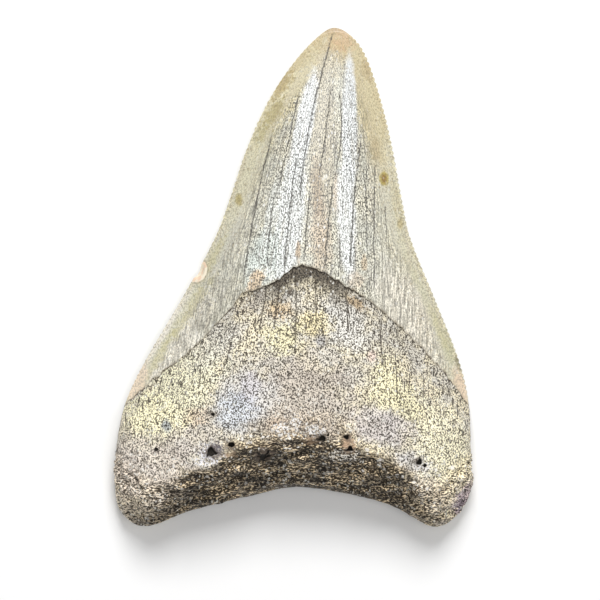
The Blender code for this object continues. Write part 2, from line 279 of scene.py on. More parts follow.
# The same for the root. Its grain's two pairs of tones are for above and underneath.
# Painted shade below the enamel's lip, and the root's other marks.
LIP_SHADE_BROWN = (0.96, (0.10, 0.085, 0.065))
ROOT_DASH = (0.92, (0.07, 0.055, 0.04))
ROOT_SPECK = (0.75, (0.06, 0.05, 0.036))
SAND_PALE = (0.85, (0.92, 0.88, 0.82))
ROOT_CRACK = (0.85, (0.06, 0.045, 0.03))
DIRT_BROWN = (0.75, (0.14, 0.105, 0.08))
GLINT_SHARE, BROKEN_SHARE = 0.60, 0.8
ROOT_GLINT, PIT_DIRT_AND_SHADE = (1.0, 0.98, 0.90), (0.02, 0.016, 0.012)
BROKEN_TONES = (0.40, 0.34, 0.35), (0.60, 0.52, 0.46)
LOW_TONES = (0.16, 0.145, 0.125), (0.27, 0.22, 0.16)
HIGH_TONES = (1.52, 1.52, 1.50), (5.1, 4.9, 4.5)

# How far from the middle, in mm, the underside's dark edge drops, and then its dirt and
# painted shade fade.
DROP_SIDE, LOBE_SIDE = (7.0, 16.0), (17.0, 27.0)

# Each grain's size in mm, and its shares of dark and of pale specks.
ENAMEL_SPECKLE = (0.22, 0.22, 0.16)
ROOT_SPECKLE, LAYER_SPECKLE = (0.23, 0.25, 0.25), (0.24, 0.25, 0.25)
SAND_SPECKLE = (0.40, 0.3, 0.28)

# Each bump's strength, and its height in metres.
ENAMEL_BUMP, ROOT_BUMP = (0.55, 0.00010), (0.8, 0.00025)
ENAMEL_IOR, ROOT_IOR = 1.58, 1.50

# The floor's second tone, as a share of its colour.
FLOOR_DIM = 0.985

# The radius in Z of a patch that is given in X and Y only.
ALL_HEIGHTS = 1e4

# The painted shade below the enamel's lip: centre, radii, turn, softness,
# raggedness and lump size. Lengths are in mm and turns in degrees.
LIP_SHADE_PATCH = ((2.2, 0.5), (9.0, 5.6), 0, 0.5, 0.4, 3.0)

# Patches of the enamel: centre, radii, turn, softness, raggedness, lump size,
# strength and colour. They lie on the bulging face.
ENAMEL_PATCHES = (
    ((19.6, -7.0), (3.6, 9.5), 30, 0.4, 0.4, 3.0, 0.75, (0.76, 0.71, 0.61)),
    ((-19.6, -9.6), (3.6, 10.5), -35, 0.4, 0.4, 3.0, 0.75, (0.79, 0.75, 0.67)),
    ((-12.5, 2.5), (2.4, 8.0), -30, 0.45, 0.5, 2.0, 0.6, (0.48, 0.475, 0.415)),
    ((-13.6, -5.4), (2.4, 4.6), -40, 0.5, 0.5, 2.0, 0.55, (0.43, 0.41, 0.34)),
    ((6.8, 43.0), (7.5, 7.0), 0, 0.4, 0.4, 3.0, 0.95, (0.53, 0.43, 0.25)),
    ((13.0, 30.0), (2.4, 12.0), 11, 0.35, 0.35, 3.0, 0.85, (0.57, 0.49, 0.3)),
    ((-1.6, 30.8), (2.4, 10.5), -31, 0.35, 1.0, 1.1, 0.85, (0.64, 0.575, 0.38)),
    ((-6.6, 20.0), (2.0, 9.0), -22, 0.5, 0.4, 2.5, 0.55, (0.56, 0.53, 0.38)),
    ((5.0, 18.0), (2.0, 19.0), -1, 0.35, 0.35, 1.6, 0.85, (0.52, 0.475, 0.375)),
    ((4.0, 15.0), (1.0, 4.6), 2, 0.6, 0.6, 1.2, 0.75, (0.36, 0.28, 0.19)),
    ((4.6, 6.5), (1.5, 5.0), 0, 0.6, 0.6, 1.2, 0.55, (0.52, 0.4, 0.29)),
    ((7.4, 14.0), (0.6, 3.6), 2, 0.5, 0.6, 1.2, 0.5, (0.56, 0.44, 0.34)),
    # These six, pale and bluish, lie along the enamel's two swells: paler enamel with a
    # painted highlight on the swells.
    ((1.7, 25.0), (1.5, 9.6), -11, 0.22, 0.16, 2.0, 1.0, (0.74, 0.76, 0.765)),
    ((-0.7, 9.5), (2.3, 13.0), -7, 0.25, 0.22, 2.0, 0.95, (0.7, 0.72, 0.71)),
    ((-5.0, 3.2), (2.6, 5.4), -16, 0.4, 0.3, 2.0, 0.85, (0.6, 0.65, 0.62)),
    ((-3.6, 11.5), (0.9, 6.5), -12, 0.35, 0.3, 2.0, 0.6, (0.66, 0.68, 0.66)),
    ((9.5, 25.0), (1.3, 12.5), 0, 0.22, 0.16, 2.0, 1.0, (0.74, 0.76, 0.765)),
    ((9.0, 9.2), (1.5, 10.0), 3, 0.3, 0.22, 2.0, 0.92, (0.78, 0.8, 0.79)),
    ((-6.3, -0.6), (1.2, 2.2), -28, 0.3, 0.5, 1.2, 0.85, (0.57, 0.43, 0.285)),
    ((0.8, 4.3), (0.45, 1.7), 0, 0.4, 0.6, 0.9, 0.75, (0.4, 0.26, 0.13)),
    ((12.0, 2.4), (0.5, 1.3), 0, 0.4, 0.6, 0.9, 0.6, (0.5, 0.37, 0.23)),
    ((10.5, -0.6), (1.4, 1.4), 0, 0.5, 0.6, 0.9, 0.4, (0.6, 0.45, 0.33)),
    ((-1.9, 32.6), (1.0, 2.8), -30, 0.4, 1.3, 0.7, 0.75, (0.38, 0.29, 0.12)),
    ((-3.3, 27.9), (1.1, 2.6), -28, 0.4, 1.3, 0.7, 0.75, (0.36, 0.3, 0.13)),
    ((-5.3, 24.6), (0.9, 1.8), -28, 0.45, 1.3, 0.7, 0.65, (0.38, 0.33, 0.16)),
    ((1.2, 36.8), (1.0, 2.4), -40, 0.5, 1.2, 0.7, 0.45, (0.46, 0.36, 0.18)),
    ((12.4, 35.0), (0.9, 1.8), 20, 0.45, 1.2, 0.7, 0.55, (0.42, 0.32, 0.17)),
    ((13.9, 21.6), (0.7, 1.8), 10, 0.45, 1.2, 0.7, 0.45, (0.42, 0.33, 0.18)),
    ((8.0, 39.8), (1.6, 1.2), 0, 0.6, 1.2, 0.6, 0.55, (0.5, 0.32, 0.17)),
    ((7.2, 42.2), (2.8, 1.1), 0, 0.5, 1.2, 0.6, 0.7, (0.45, 0.33, 0.19)),
    ((8.8, 40.8), (1.4, 2.2), 20, 0.7, 1.4, 0.6, 0.36, (0.6, 0.42, 0.28)),
    ((15.4, 16.7), (0.8, 1.2), 5, 0.3, 0.15, 0.8, 1.0, (0.42, 0.33, 0.08)),
    ((15.4, 16.7), (0.42, 0.7), 5, 0.35, 0.15, 0.8, 0.9, (0.24, 0.13, 0.015)),
    ((-9.3, 13.1), (0.6, 1.0), 0, 0.45, 0.3, 0.8, 0.85, (0.36, 0.29, 0.1)),
    ((18.1, 9.0), (0.5, 0.8), 0, 0.45, 0.3, 0.8, 0.75, (0.42, 0.33, 0.14)),
    ((26.2, -11.5), (0.8, 2.6), 18, 0.4, 1.2, 0.8, 0.4, (0.4, 0.4, 0.22)),
    ((28.2, -14.6), (0.5, 1.4), 16, 0.4, 0.9, 0.6, 0.7, (0.16, 0.15, 0.08)),
    ((-15.5, 0.8), (1.25, 1.7), -28, 0.25, 0.9, 0.7, 0.8, (0.4, 0.36, 0.27)),
    ((-15.7, 0.8), (1.0, 1.5), -28, 0.2, 0.9, 0.7, 1.0, (0.86, 0.81, 0.68)),
)

# Patches that lie over the greenish band inside the cutting edges.
EDGE_PATCHES = (
    ((-17.4, -5.6), (0.8, 6.5), -33, 0.5, 1.2, 1.2, 0.6, (0.47, 0.43, 0.23)),
    ((-22.4, -13.0), (0.7, 4.0), -30, 0.5, 1.2, 1.2, 0.5, (0.5, 0.46, 0.25)),
    ((-13.6, 3.6), (0.7, 3.4), -28, 0.5, 1.2, 1.2, 0.5, (0.45, 0.41, 0.22)),
    ((24.8, -9.0), (0.6, 4.0), 22, 0.5, 1.2, 1.2, 0.45, (0.48, 0.44, 0.25)),
    ((17.6, 12.5), (0.6, 5.0), 10, 0.5, 1.2, 1.2, 0.4, (0.5, 0.44, 0.26)),
    ((-26.6, -18.2), (1.4, 3.4), -27, 0.45, 0.5, 1.4, 0.75, (0.77, 0.63, 0.49)),
    ((28.4, -18.8), (1.1, 3.2), 14, 0.45, 0.5, 1.4, 0.75, (0.72, 0.56, 0.42)),
)

# Patches of the root, likewise.
ROOT_PATCHES = (
    ((1.5, -21.0), (8.0, 7.5), 0, 0.4, 0.6, 3.0, 0.9, (0.46, 0.41, 0.36)),
    ((-25.4, -39.2), (5.4, 2.6), 10, 0.6, 0.6, 1.6, 0.6, (0.28, 0.245, 0.205)),
    ((16.0, -10.5), (3.6, 3.2), -35, 0.6, 0.6, 1.6, 0.4, (0.35, 0.34, 0.32)),
    ((-7.2, -4.4), (2.6, 1.5), 35, 0.6, 0.6, 1.2, 0.55, (0.35, 0.31, 0.27)),
    ((8.5, -8.5), (5.5, 3.2), -35, 0.5, 0.6, 2.0, 0.8, (0.58, 0.57, 0.54)),
    ((-19.2, -19.0), (8.0, 4.4), 38, 0.35, 0.7, 2.5, 0.8, (0.71, 0.68, 0.5)),
    ((-24.2, -25.2), (5.4, 4.6), 28, 0.35, 0.8, 2.2, 0.8, (0.77, 0.72, 0.49)),
    ((3.8, -7.8), (2.6, 2.0), 0, 0.5, 0.8, 1.4, 0.75, (0.66, 0.57, 0.33)),
    ((-2.0, -10.4), (3.0, 2.6), 0, 0.5, 0.8, 1.4, 0.75, (0.66, 0.61, 0.39)),
    ((-2.4, -5.6), (2.0, 1.4), 0, 0.6, 0.9, 1.0, 0.7, (0.52, 0.38, 0.22)),
    ((10.6, -4.4), (1.9, 0.8), -35, 0.5, 0.9, 1.0, 0.8, (0.34, 0.24, 0.13)),
    ((15.6, -18.4), (2.6, 4.4), 0, 0.35, 0.6, 2.0, 0.9, (0.7, 0.65, 0.44)),
    ((19.4, -22.5), (2.6, 4.4), 20, 0.4, 0.6, 2.0, 0.75, (0.68, 0.63, 0.42)),
    ((25.0, -28.8), (4.6, 6.6), 14, 0.4, 0.6, 2.4, 0.75, (0.75, 0.7, 0.51)),
    ((-8.2, -20.8), (5.0, 5.4), -18, 0.45, 0.5, 2.0, 0.9, (0.52, 0.505, 0.49)),
    ((-9.6, -22.8), (3.2, 3.2), 0, 0.5, 0.6, 1.5, 0.7, (0.53, 0.565, 0.625)),
    ((-7.4, -18.6), (1.6, 2.6), 0, 0.6, 0.6, 1.5, 0.5, (0.44, 0.42, 0.48)),
    ((-17.0, -27.8), (6.2, 2.4), 8, 0.5, 0.8, 1.8, 0.5, (0.48, 0.44, 0.425)),
    ((15.0, -25.4), (5.6, 2.8), -12, 0.45, 0.6, 1.8, 0.8, (0.5, 0.46, 0.455)),
    ((1.5, -25.5), (8.0, 2.0), 0, 0.5, 0.8, 1.4, 0.7, (0.36, 0.31, 0.26)),
    ((-3.0, -24.4), (1.4, 1.0), 0, 0.6, 0.6, 1.0, 0.25, (0.52, 0.36, 0.24)),
    ((-16.3, -23.6), (2.0, 1.4), 0, 0.6, 0.6, 1.0, 0.5, (0.6, 0.45, 0.33)),
    ((-21.4, -25.2), (0.9, 1.0), 0, 0.45, 0.6, 1.0, 0.85, (0.3, 0.33, 0.35)),
    ((-24.0, -32.4), (7.5, 5.2), 0, 0.45, 0.6, 2.2, 0.8, (0.56, 0.5, 0.45)),
    ((19.6, -31.4), (3.0, 1.8), -20, 0.5, 0.6, 1.4, 0.6, (0.44, 0.43, 0.46)),
    ((22.6, -37.2), (5.0, 3.4), 0, 0.5, 0.6, 2.0, 0.5, (0.62, 0.55, 0.46)),
    ((13.2, -13.4), (0.8, 1.0), 0, 0.5, 0.4, 1.0, 0.6, (0.66, 0.5, 0.44)),
    ((-28.6, -31.5), (2.4, 6.0), 0, 0.5, 0.4, 2.0, 0.6, (0.57, 0.51, 0.46)),
    # These two are painted shade along the lower outline of the lobes.
    ((-21.5, -41.0), (9.0, 1.7), 14, 0.5, 0.5, 1.6, 0.75, (0.1, 0.08, 0.06)),
    ((20.5, -40.4), (8.0, 1.3), -18, 0.5, 0.5, 1.6, 0.5, (0.12, 0.1, 0.075)),
    ((4.6, -10.8), (0.9, 0.9), 0, 0.5, 0.9, 0.7, 0.7, (0.3, 0.3, 0.33)),
    ((-14.4, -12.2), (5.0, 2.6), 38, 0.5, 0.6, 2.0, 0.45, (0.7, 0.68, 0.6)),
)

# Patches at the pores, which lie over the grain.
PORE_PATCHES = (
    # These two darken the deepest pores and round them: dirt with painted shade of the
    # hollows.
    ((-13.4, -29.4, 16.4), (1.8, 1.3, 2.0), 0, 0.5, 1.2, 0.5, 0.75, (0.13, 0.12, 0.15)),
    ((-5.0, -30.8, 15.8), (2.6, 1.5, 2.4), 0, 0.6, 1.2, 0.6, 0.85, (0.035, 0.03, 0.024)),
    ((9.3, -28.1, 17.0), (0.9, 1.1, 1.5), 0, 0.5, 1.2, 0.5, 0.7, (0.62, 0.42, 0.28)),
    ((3.0, -27.6, 17.2), (1.2, 0.6, 1.5), 0, 0.5, 1.4, 0.5, 0.45, (0.45, 0.3, 0.18)),
    ((-10.6, -30.0, 16.4), (1.2, 0.5, 1.5), 0, 0.5, 1.4, 0.5, 0.6, (0.55, 0.4, 0.26)),
)

# Where white crumbs cling to the root.
CRUMB_PATCHES = (
    ((-14.2, -30.9, 15.8), (2.4, 0.9, 1.8), 8, 0.45, 0.8, 0.9, 1.0, (0.9, 0.89, 0.93)),
    ((-15.0, -29.8, 16.4), (0.9, 1.4, 2.2), 0, 0.45, 0.8, 0.9, 0.9, (0.88, 0.87, 0.91)),
    ((8.2, -30.2, 16.2), (3.0, 0.9, 1.6), 0, 0.45, 0.8, 0.9, 1.0, (1.0, 0.94, 0.84)),
    ((-2.0, -25.6, 17.4), (1.5, 1.1, 2.5), 0, 0.5, 0.8, 0.9, 0.9, (0.9, 0.88, 0.86)),
    ((0.3, -24.6, 17.4), (1.0, 1.3, 2.5), 0, 0.5, 0.8, 0.9, 0.8, (0.9, 0.88, 0.86)),
    ((3.9, -26.0, 17.4), (1.6, 0.9, 2.5), 0, 0.5, 0.8, 0.9, 0.8, (0.9, 0.88, 0.86)),
    ((21.9, -31.9), (1.5, 0.9), 0, 0.5, 0.8, 0.9, 0.7, (0.88, 0.87, 0.88)),
)

# Patches of the broken lobe.
BROKEN_PATCHES = (
    ((29.0, -37.4), (1.2, 2.9), -24, 0.15, 1.0, 0.8, 0.7, (0.27, 0.22, 0.26)),
    ((28.4, -38.8), (0.7, 1.4), -22, 0.3, 1.4, 0.6, 0.7, (0.1, 0.08, 0.11)),
    ((25.0, -41.6), (1.2, 0.8), 0, 0.45, 1.2, 0.6, 0.5, (0.17, 0.15, 0.15)),
)

# The bake map: how far down it the neck, the crest and the base lie, and its margin.
MAP_ROWS = (0, 0.52, 0.80, 1.0)
MAP_MARGIN = 0.004

# The two round lights, in metres, and where they point.
KEY_PLACE, KEY_SIZE = (0.02, 0.40, 0.54), 0.30
FILL_PLACE, FILL_SIZE = (0.10, -0.10, 0.62), 0.40
LIGHT_TARGET = (0, 0, 0.005)


def smooth_line(points, steps=16):
    """Points along a smooth line that passes through every given point."""
    ends = [2 * points[0] - points[1], *points, 2 * points[-1] - points[-2]]
    t = np.linspace(0, 1, steps, endpoint=False)[:, None]
    found = []
    for a, b, c, d in zip(ends, ends[1:], ends[2:], ends[3:]):
        bend = (2 * a - 5 * b + 4 * c - d) * t**2 + (3 * b - a - 3 * c + d) * t**3
        found.append(b + ((c - a) * t + bend) / 2)
    return np.vstack([*found, points[-1:]])


def run_of(line):
    """The length along a line at each of its points."""
    steps = np.linalg.norm(np.diff(line, axis=0), axis=1)
    return np.concatenate([[0], np.cumsum(steps)])


def at(line, run, wanted):
    """The points of a line where its length so far is as wanted."""
    return np.stack([np.interp(wanted, run, line[:, k]) for k in (0, 1)], axis=-1)


def ease(low, high, value):
    """0 below low, 1 above high, and smooth between."""
    t = np.clip((value - low) / (high - low), 0, 1)
    return t * t * (3 - 2 * t)


def mix(a, b, share):
    return a + (b - a) * share


def hump(centre, width, value):
    return np.exp(-(((value - centre) / width) ** 2))


def noise_at(points, size, shift=(0, 0, 0)):
    """Smooth noise from about -1 to 1 at each point."""
    move = Vector(shift)
    return np.array([noise.noise(Vector(p) / size + move) for p in points])


class Side:
    """One side of the outline, followed from the tip down to the root's end."""

    def __init__(self, line):
        self.line = line
        self.run = run_of(line)
        falling = -line[:, 1]
        heights = (ENAMEL_END[0, 1], ROOT_CREST[0, 1])
        neck, crest = (np.interp(-y, falling, self.run) for y in heights)
        self.keys = [0, neck, crest, self.run[-1]]

    def place(self, along):
        run = np.interp(along, [0, NECK, CREST, BASE], self.keys)
        return at(self.line, self.run, run)


def both_sides():
    line = smooth_line(SIDES)
    tip = np.argmax(line[:, 1])
    return Side(line[tip::-1]), Side(line[tip:])


LEFT, RIGHT = both_sides()


def straight_row(across, along):
    """The point on the straight row between the two sides."""
    return mix(LEFT.place(along), RIGHT.place(along), across[:, None])


def arch_of(line, across, along):
    """How far a crosswise line lies from the straight row with the same ends."""
    straight = straight_row(across, np.full_like(across, along))
    drawn = smooth_line(line)
    arch = np.zeros_like(straight)
    arch[:, 1] = np.interp(straight[:, 0], drawn[:, 0], drawn[:, 1]) - straight[:, 1]
    return arch


def underside_arch(across):
    drawn = smooth_line(UNDERSIDE)
    run = run_of(drawn)
    straight = straight_row(across, np.full_like(across, BASE))
    return at(drawn, run, across * run[-1]) - straight


def crown_share(along):
    """0 at the tip and 1 at the neck, by height rather than along the edge."""
    middle = np.full_like(along, 0.5)
    tip, row, neck = (
        straight_row(middle, place)[:, 1]
        for place in (np.zeros_like(along), np.minimum(along, NECK), NECK + 0 * along)
    )
    return (tip - row) / (tip - neck)


def plan(across, along, enamel_end, crest=None):
    """Where a place lies in X and Y."""
    neck = arch_of(enamel_end, across, NECK)
    base = underside_arch(across)
    below = np.clip(along - NECK, 0, BASE - NECK)[:, None]
    root = mix(neck, base, below / (BASE - NECK))
    if crest is not None:
        ridge = arch_of(crest, across, CREST)
        upper = mix(neck, ridge, np.minimum(below, 1))
        root = mix(upper, base, np.clip(below - 1, 0, 1))
    crown = neck * crown_share(along)[:, None]
    arch = np.where((along <= NECK)[:, None], crown, root)
    found = straight_row(across, along) + arch
    place = np.column_stack([found, np.zeros(len(found))])
    near = np.nonzero(np.abs(along - NECK) < 3 * RAGGED_REACH)[0]
    ragged = noise_at(place[near], RAGGED_SIZE) * hump(NECK, RAGGED_REACH, along[near])
    found[near, 1] += ragged * RAGGED_DEPTH * ease(0, RIM_WIDTH, inward_of(across[near]))
    return found


def inward_of(across):
    """0 at the outline and 1 at the middle."""
    return 1 - np.abs(2 * across - 1)


def edge_height(along):
    tip = mix(TIP_EDGE_HEIGHT, CROWN_EDGE_HEIGHT, ease(0, TIP_END, along))
    root = mix(tip, ROOT_EDGE_HEIGHT, ease(NECK, ROOT_BLUNT, along))
    return mix(root, BASE_EDGE_HEIGHT, ease(CREST, BASE, along))


def middle_height(along):
    """The height of the bulging face along the tooth's middle."""
    crown = NECK_HEIGHT * np.sqrt(crown_share(along))
    rise = np.sin(np.clip(along - NECK, 0, 1) * math.pi / 2)
    root = mix(NECK_HEIGHT - ENAMEL_STEP, CREST_HEIGHT, rise)
    fall = np.clip(along - CREST, 0, 1) ** UNDERSIDE_BEND
    under = mix(CREST_HEIGHT, edge_height(along), fall)
    height = np.where(along <= NECK, crown, np.where(along <= CREST, root, under))
    return np.maximum(height, edge_height(along))


def bulge(across, along):
    """0 at the outline and 1 at the middle: thin-edged enamel, then a blunt root."""
    blunt = ease(NECK, ROOT_BLUNT, along)
    fullness = mix(CROWN_FULLNESS, ROOT_FULLNESS, blunt)
    steepness = mix(CROWN_STEEPNESS, ROOT_STEEPNESS, blunt)
    return (1 - (1 - inward_of(across)) ** fullness) ** steepness


def folds(across, along):
    """The enamel's swells, which fade out at the tip and before the neck."""
    swells = sum(hump(place, FOLD_WIDTH, across) for place in FOLD_PLACES)
    return FOLD_HEIGHT * swells * ease(*FOLD_START, along) * ease(*FOLD_END, along)


def worn(points, along, inward):
    """Height of the root's lumps, ledges and grain. It is nothing on the rim."""
    from_rim = np.minimum(inward, (BASE - along) / 2)
    amount = ease(*WORN_START, along) * ease(0, RIM_WIDTH, from_rim)
    found = np.zeros(len(points))
    some = np.nonzero(amount)[0]
    place = points[some]
    wave = noise_at(place, LUMP_SIZE, (0, 9, 4))
    ledge = np.sin(2 * math.pi * (place[:, 2] / LEDGE_SPACING + wave))
    found[some] = LUMP_HEIGHT * noise_at(place, LUMP_SIZE)
    found[some] += GRAIN_HEIGHT * noise_at(place, GRAIN_SIZE, (7, 3, 1))
    found[some] += LEDGE_HEIGHT * ledge * ease(*UNDERSIDE_START, along[some])
    return found * amount


def bulging_face(across, along):
    points = np.zeros((len(across), 3))
    points[:, :2] = plan(across, along, ENAMEL_END, ROOT_CREST)
    rise = middle_height(along) - edge_height(along)
    points[:, 2] = edge_height(along) + rise * bulge(across, along)
    points[:, 2] += folds(across, along)
    relief = worn(points, along, inward_of(across))
    points[:, 2] += relief
    points[:, 1] -= relief * ease(*UNDERSIDE_START, along)
    return points


def rounding(distance, reach, power):
    """0 on the outline and 1 once this far in, along a rounded edge."""
    return (1 - (1 - np.clip(distance / reach, 0, 1)) ** 2) ** power


def flat_face(across, along):
    inward = inward_of(across)
    points = np.zeros((len(across), 3))
    points[:, :2] = plan(across, along, FLAT_ENAMEL_END)
    blunt = ease(NECK, ROOT_BLUNT, along)
    curve = mix(CROWN_CURVE, ROOT_CURVE, blunt)
    flatness = rounding(inward, curve, mix(CROWN_ROUNDING, ROOT_ROUNDING, blunt))
    flatness *= rounding(crown_share(along), TIP_CURVE, END_ROUNDING)
    flatness *= rounding(BASE - along, BASE_CURVE, END_ROUNDING)
    points[:, 2] = edge_height(along) * (1 - flatness)
    step = ease(NECK, NECK + STEP_WALL, along) * ease(*FLAT_STEP_END, along)
    dish = hump(DISH_PLACE, DISH_WIDTH, across) * ease(*DISH_START, along)
    pits = np.maximum(worn(points, along, inward), 0)
    points[:, 2] += (ENAMEL_STEP * step + DISH_DEPTH * dish + pits) * flatness
    return points


def rows():
    crown = np.linspace(0, NECK, SERRATIONS * ROWS_PER_SERRATION + 1)
    root = np.linspace(NECK + STEP_LENGTH, CREST, ROOT_ROWS + 1)
    under = np.linspace(CREST, BASE, UNDERSIDE_ROWS + 1)[1:]
    return np.concatenate([crown, [NECK + STEP_WALL], root, under])


def columns(count):
    even = np.linspace(0, 1, count + 1)
    crowded = (1 - np.cos(math.pi * even)) / 2
    return mix(even, crowded, EDGE_CROWDING)


def place_of(vertices):
    places = np.array([v.co[:2] for v in vertices])
    return places[:, 0], places[:, 1]


def add_pore_cells(bm, first_face):
    """Cuts the cells round each pore finer."""
    faces = list(bm.faces)[first_face:]
    centres = np.array([f.calc_center_median()[:2] for f in faces])
    ground = plan(centres[:, 0], centres[:, 1], ENAMEL_END, ROOT_CREST) / MM
    near = np.zeros(len(faces), bool)
    for x, y, radius, _ in PORES:
        near |= np.hypot(ground[:, 0] - x, ground[:, 1] - y) < radius * PORE_REACH
    wanted = {}
    for n in np.nonzero(near)[0]:
        for edge in faces[n].edges:
            wanted[edge] = None
    bmesh.ops.subdivide_edges(bm, edges=list(wanted), cuts=PORE_CUTS, use_grid_fill=True)


def add_sheet(bm, face, count, side):
    """Adds one face of the tooth: a grid, laid over the face's shape."""
    across, along = columns(count), rows()
    first, first_edge, first_face = len(bm.verts), len(bm.edges), len(bm.faces)
    last_column, last_row = len(across) - 1, len(along) - 1
    bmesh.ops.create_grid(bm, x_segments=last_column, y_segments=last_row, size=0.5)
    for vertex in list(bm.verts)[first:]:
        column = round((vertex.co.x + 0.5) * last_column)
        row = round((vertex.co.y + 0.5) * last_row)
        vertex.co = (across[column], along[row], 0)
    rim = [edge for edge in list(bm.edges)[first_edge:] if edge.is_boundary]
    crown_rim = [
        edge
        for edge in rim
        if edge.verts[0].co.x == edge.verts[1].co.x
        and max(v.co.y for v in edge.verts) < NECK + STEP_WALL / 2
    ]
    base_rim = [e for e in rim if all(v.co.y == BASE for v in e.verts)]
    bmesh.ops.subdivide_edges(bm, edges=crown_rim, cuts=1)
    if count < COLUMNS:
        bmesh.ops.subdivide_edges(bm, edges=base_rim, cuts=COLUMNS // count - 1)
        match_base_columns(bm, first)
    poked = [cell for cell in list(bm.faces)[first_face:] if len(cell.verts) > 4]
    bmesh.ops.poke(bm, faces=poked)
    if face is bulging_face:
        add_pore_cells(bm, first_face)
    made = list(bm.verts)[first:]
    layers = [bm.verts.layers.float[name] for name in ("across", "along", "flat")]
    across, along = place_of(made)
    for vertex, point, *values in zip(made, face(across, along), across, along):
        vertex.co = point
        for layer, value in zip(layers, (*values, side)):
            vertex[layer] = value


def match_base_columns(bm, first):
    """Moves the points cut into the base row to where the other face has them."""
    fine = columns(COLUMNS)
    for vertex in list(bm.verts)[first:]:
        if vertex.co.y == BASE:
            vertex.co.x = fine[np.abs(fine - vertex.co.x).argmin()]


def tooth_mesh():
    """Both faces, joined along the outline into one closed skin."""
    bm = bmesh.new()
    for name in ("across", "along", "flat"):
        bm.verts.layers.float.new(name)
    add_sheet(bm, flat_face, FLAT_COLUMNS, 1.0)
    add_sheet(bm, bulging_face, COLUMNS, 0.0)
    bmesh.ops.remove_doubles(bm, verts=bm.verts, dist=0.001 * MM)
    bmesh.ops.recalc_face_normals(bm, faces=bm.faces)
    mesh = bpy.data.meshes.new("fossil_tooth")
    bm.to_mesh(mesh)
    bm.free()
    mesh.shade_smooth()
    return mesh


def read(mesh, name):
    values = np.zeros(len(mesh.vertices))
    mesh.attributes[name].data.foreach_get("value", values)
    return values


def read_points(mesh):
    points = np.zeros(3 * len(mesh.vertices))
    mesh.vertices.foreach_get("co", points)
    return points.reshape(-1, 3)


def keep(mesh, name, values, kind="FLOAT"):
    layer = mesh.attributes.new(name, kind, "POINT")
    field = "value" if kind == "FLOAT" else "vector"
    layer.data.foreach_set(field, np.ascontiguousarray(values, np.float32).ravel())


def scoop_chips(points):
    """Pushes the points inside each ball out to its skin. Returns where it did."""
    share = np.zeros(len(points))
    for *centre, radius in CHIPS:
        away = points - np.array(centre) * MM
        distance = np.linalg.norm(away, axis=1)
        near = np.nonzero(distance < CHIP_REACH * radius * MM)[0]
        rough = 1 + CHIP_RAGGEDNESS * noise_at(points[near], CHIP_LUMPS)
        wanted = radius * MM * rough
        inside = distance[near] < wanted
        some = near[inside]
        points[some] += away[some] / distance[some, None] * (
            wanted[inside] - distance[some]
        )[:, None]
        rim = 1 - ease(0, CHIP_RIM, distance[near] - wanted)
        share[near] = np.maximum(share[near], rim)
    return share


def sink_pores(points, flat):
    """Pushes the skin in at each pore. Returns how deep, and the dirt round it."""
    share, halo = np.zeros(len(points)), np.zeros(len(points))
    for x, y, radius, depth in PORES:
        away = points[:, :2] / MM - (x, y)
        distance = np.linalg.norm(away, axis=1)
        near = np.nonzero((distance < HALO_REACH * radius) & (flat < 0.5))[0]
        rough = 1 + PORE_RAGGEDNESS * noise_at(points[near], PORE_LUMPS, (5, 5, 5))
        from_middle = distance[near] / (radius * rough)
        sunk = 1 - ease(*PORE_WALL, from_middle)
        points[near, 2] -= sunk * depth * MM
        share[near] = np.maximum(share[near], sunk)
        dirt = 1 - ease(*PORE_HALO, from_middle)
        halo[near] = np.maximum(halo[near], dirt)
    return share, halo


def edge_vectors(along, across):
    """The outline's outward direction beside each point."""
    step = 0.01
    found = np.zeros((len(along), 3))
    for side, place, turn in ((LEFT, across < 0.5, -1), (RIGHT, across >= 0.5, 1)):
        tangent = side.place(along[place] + step) - side.place(along[place] - step)
        found[place, 0], found[place, 1] = -tangent[:, 1] * turn, tangent[:, 0] * turn
    return found / np.linalg.norm(found, axis=1, keepdims=True)


def serration_wear(points, across):
    """1 where the serrations are fresh, and less where they are rubbed down."""
    worn_more = noise_at(points * (1, 1, 0), SERRATION_WEAR_SIZE, (2, 2, 2))
    left, right = (ease(*reach, worn_more) for reach in (LEFT_WEAR, RIGHT_WEAR))
    return 1 - SERRATION_WEAR * np.where(across < 0.5, left, right)


def outline_distance(points):
    """How far each point lies from the nearer side of the outline, in X and Y."""
    best = np.full(len(points), np.inf)
    for side in (LEFT, RIGHT):
        line = side.line
        for start, end in zip(line, line[1:]):
            piece = end - start
            share = ((points[:, :2] - start) @ piece) / (piece @ piece)
            nearest = start + np.clip(share, 0, 1)[:, None] * piece
            best = np.minimum(best, np.linalg.norm(points[:, :2] - nearest, axis=1))
    return best


def grain_way(points):
    """Across the enamel's fibres, which fan out from the tip, and along them."""
    height = np.maximum(points[:, 1], LEFT_NECK[1] * MM)
    ends = [np.interp(-height, -side.line[:, 1], side.line[:, 0]) for side in (LEFT, RIGHT)]
    middle = (ends[0] + ends[1]) / 2
    fan = np.interp(points[:, 1], FAN_HEIGHTS, FAN_WIDTHS)
    return np.column_stack([(points[:, 0] - middle) / fan, points[:, 1], 0 * middle])


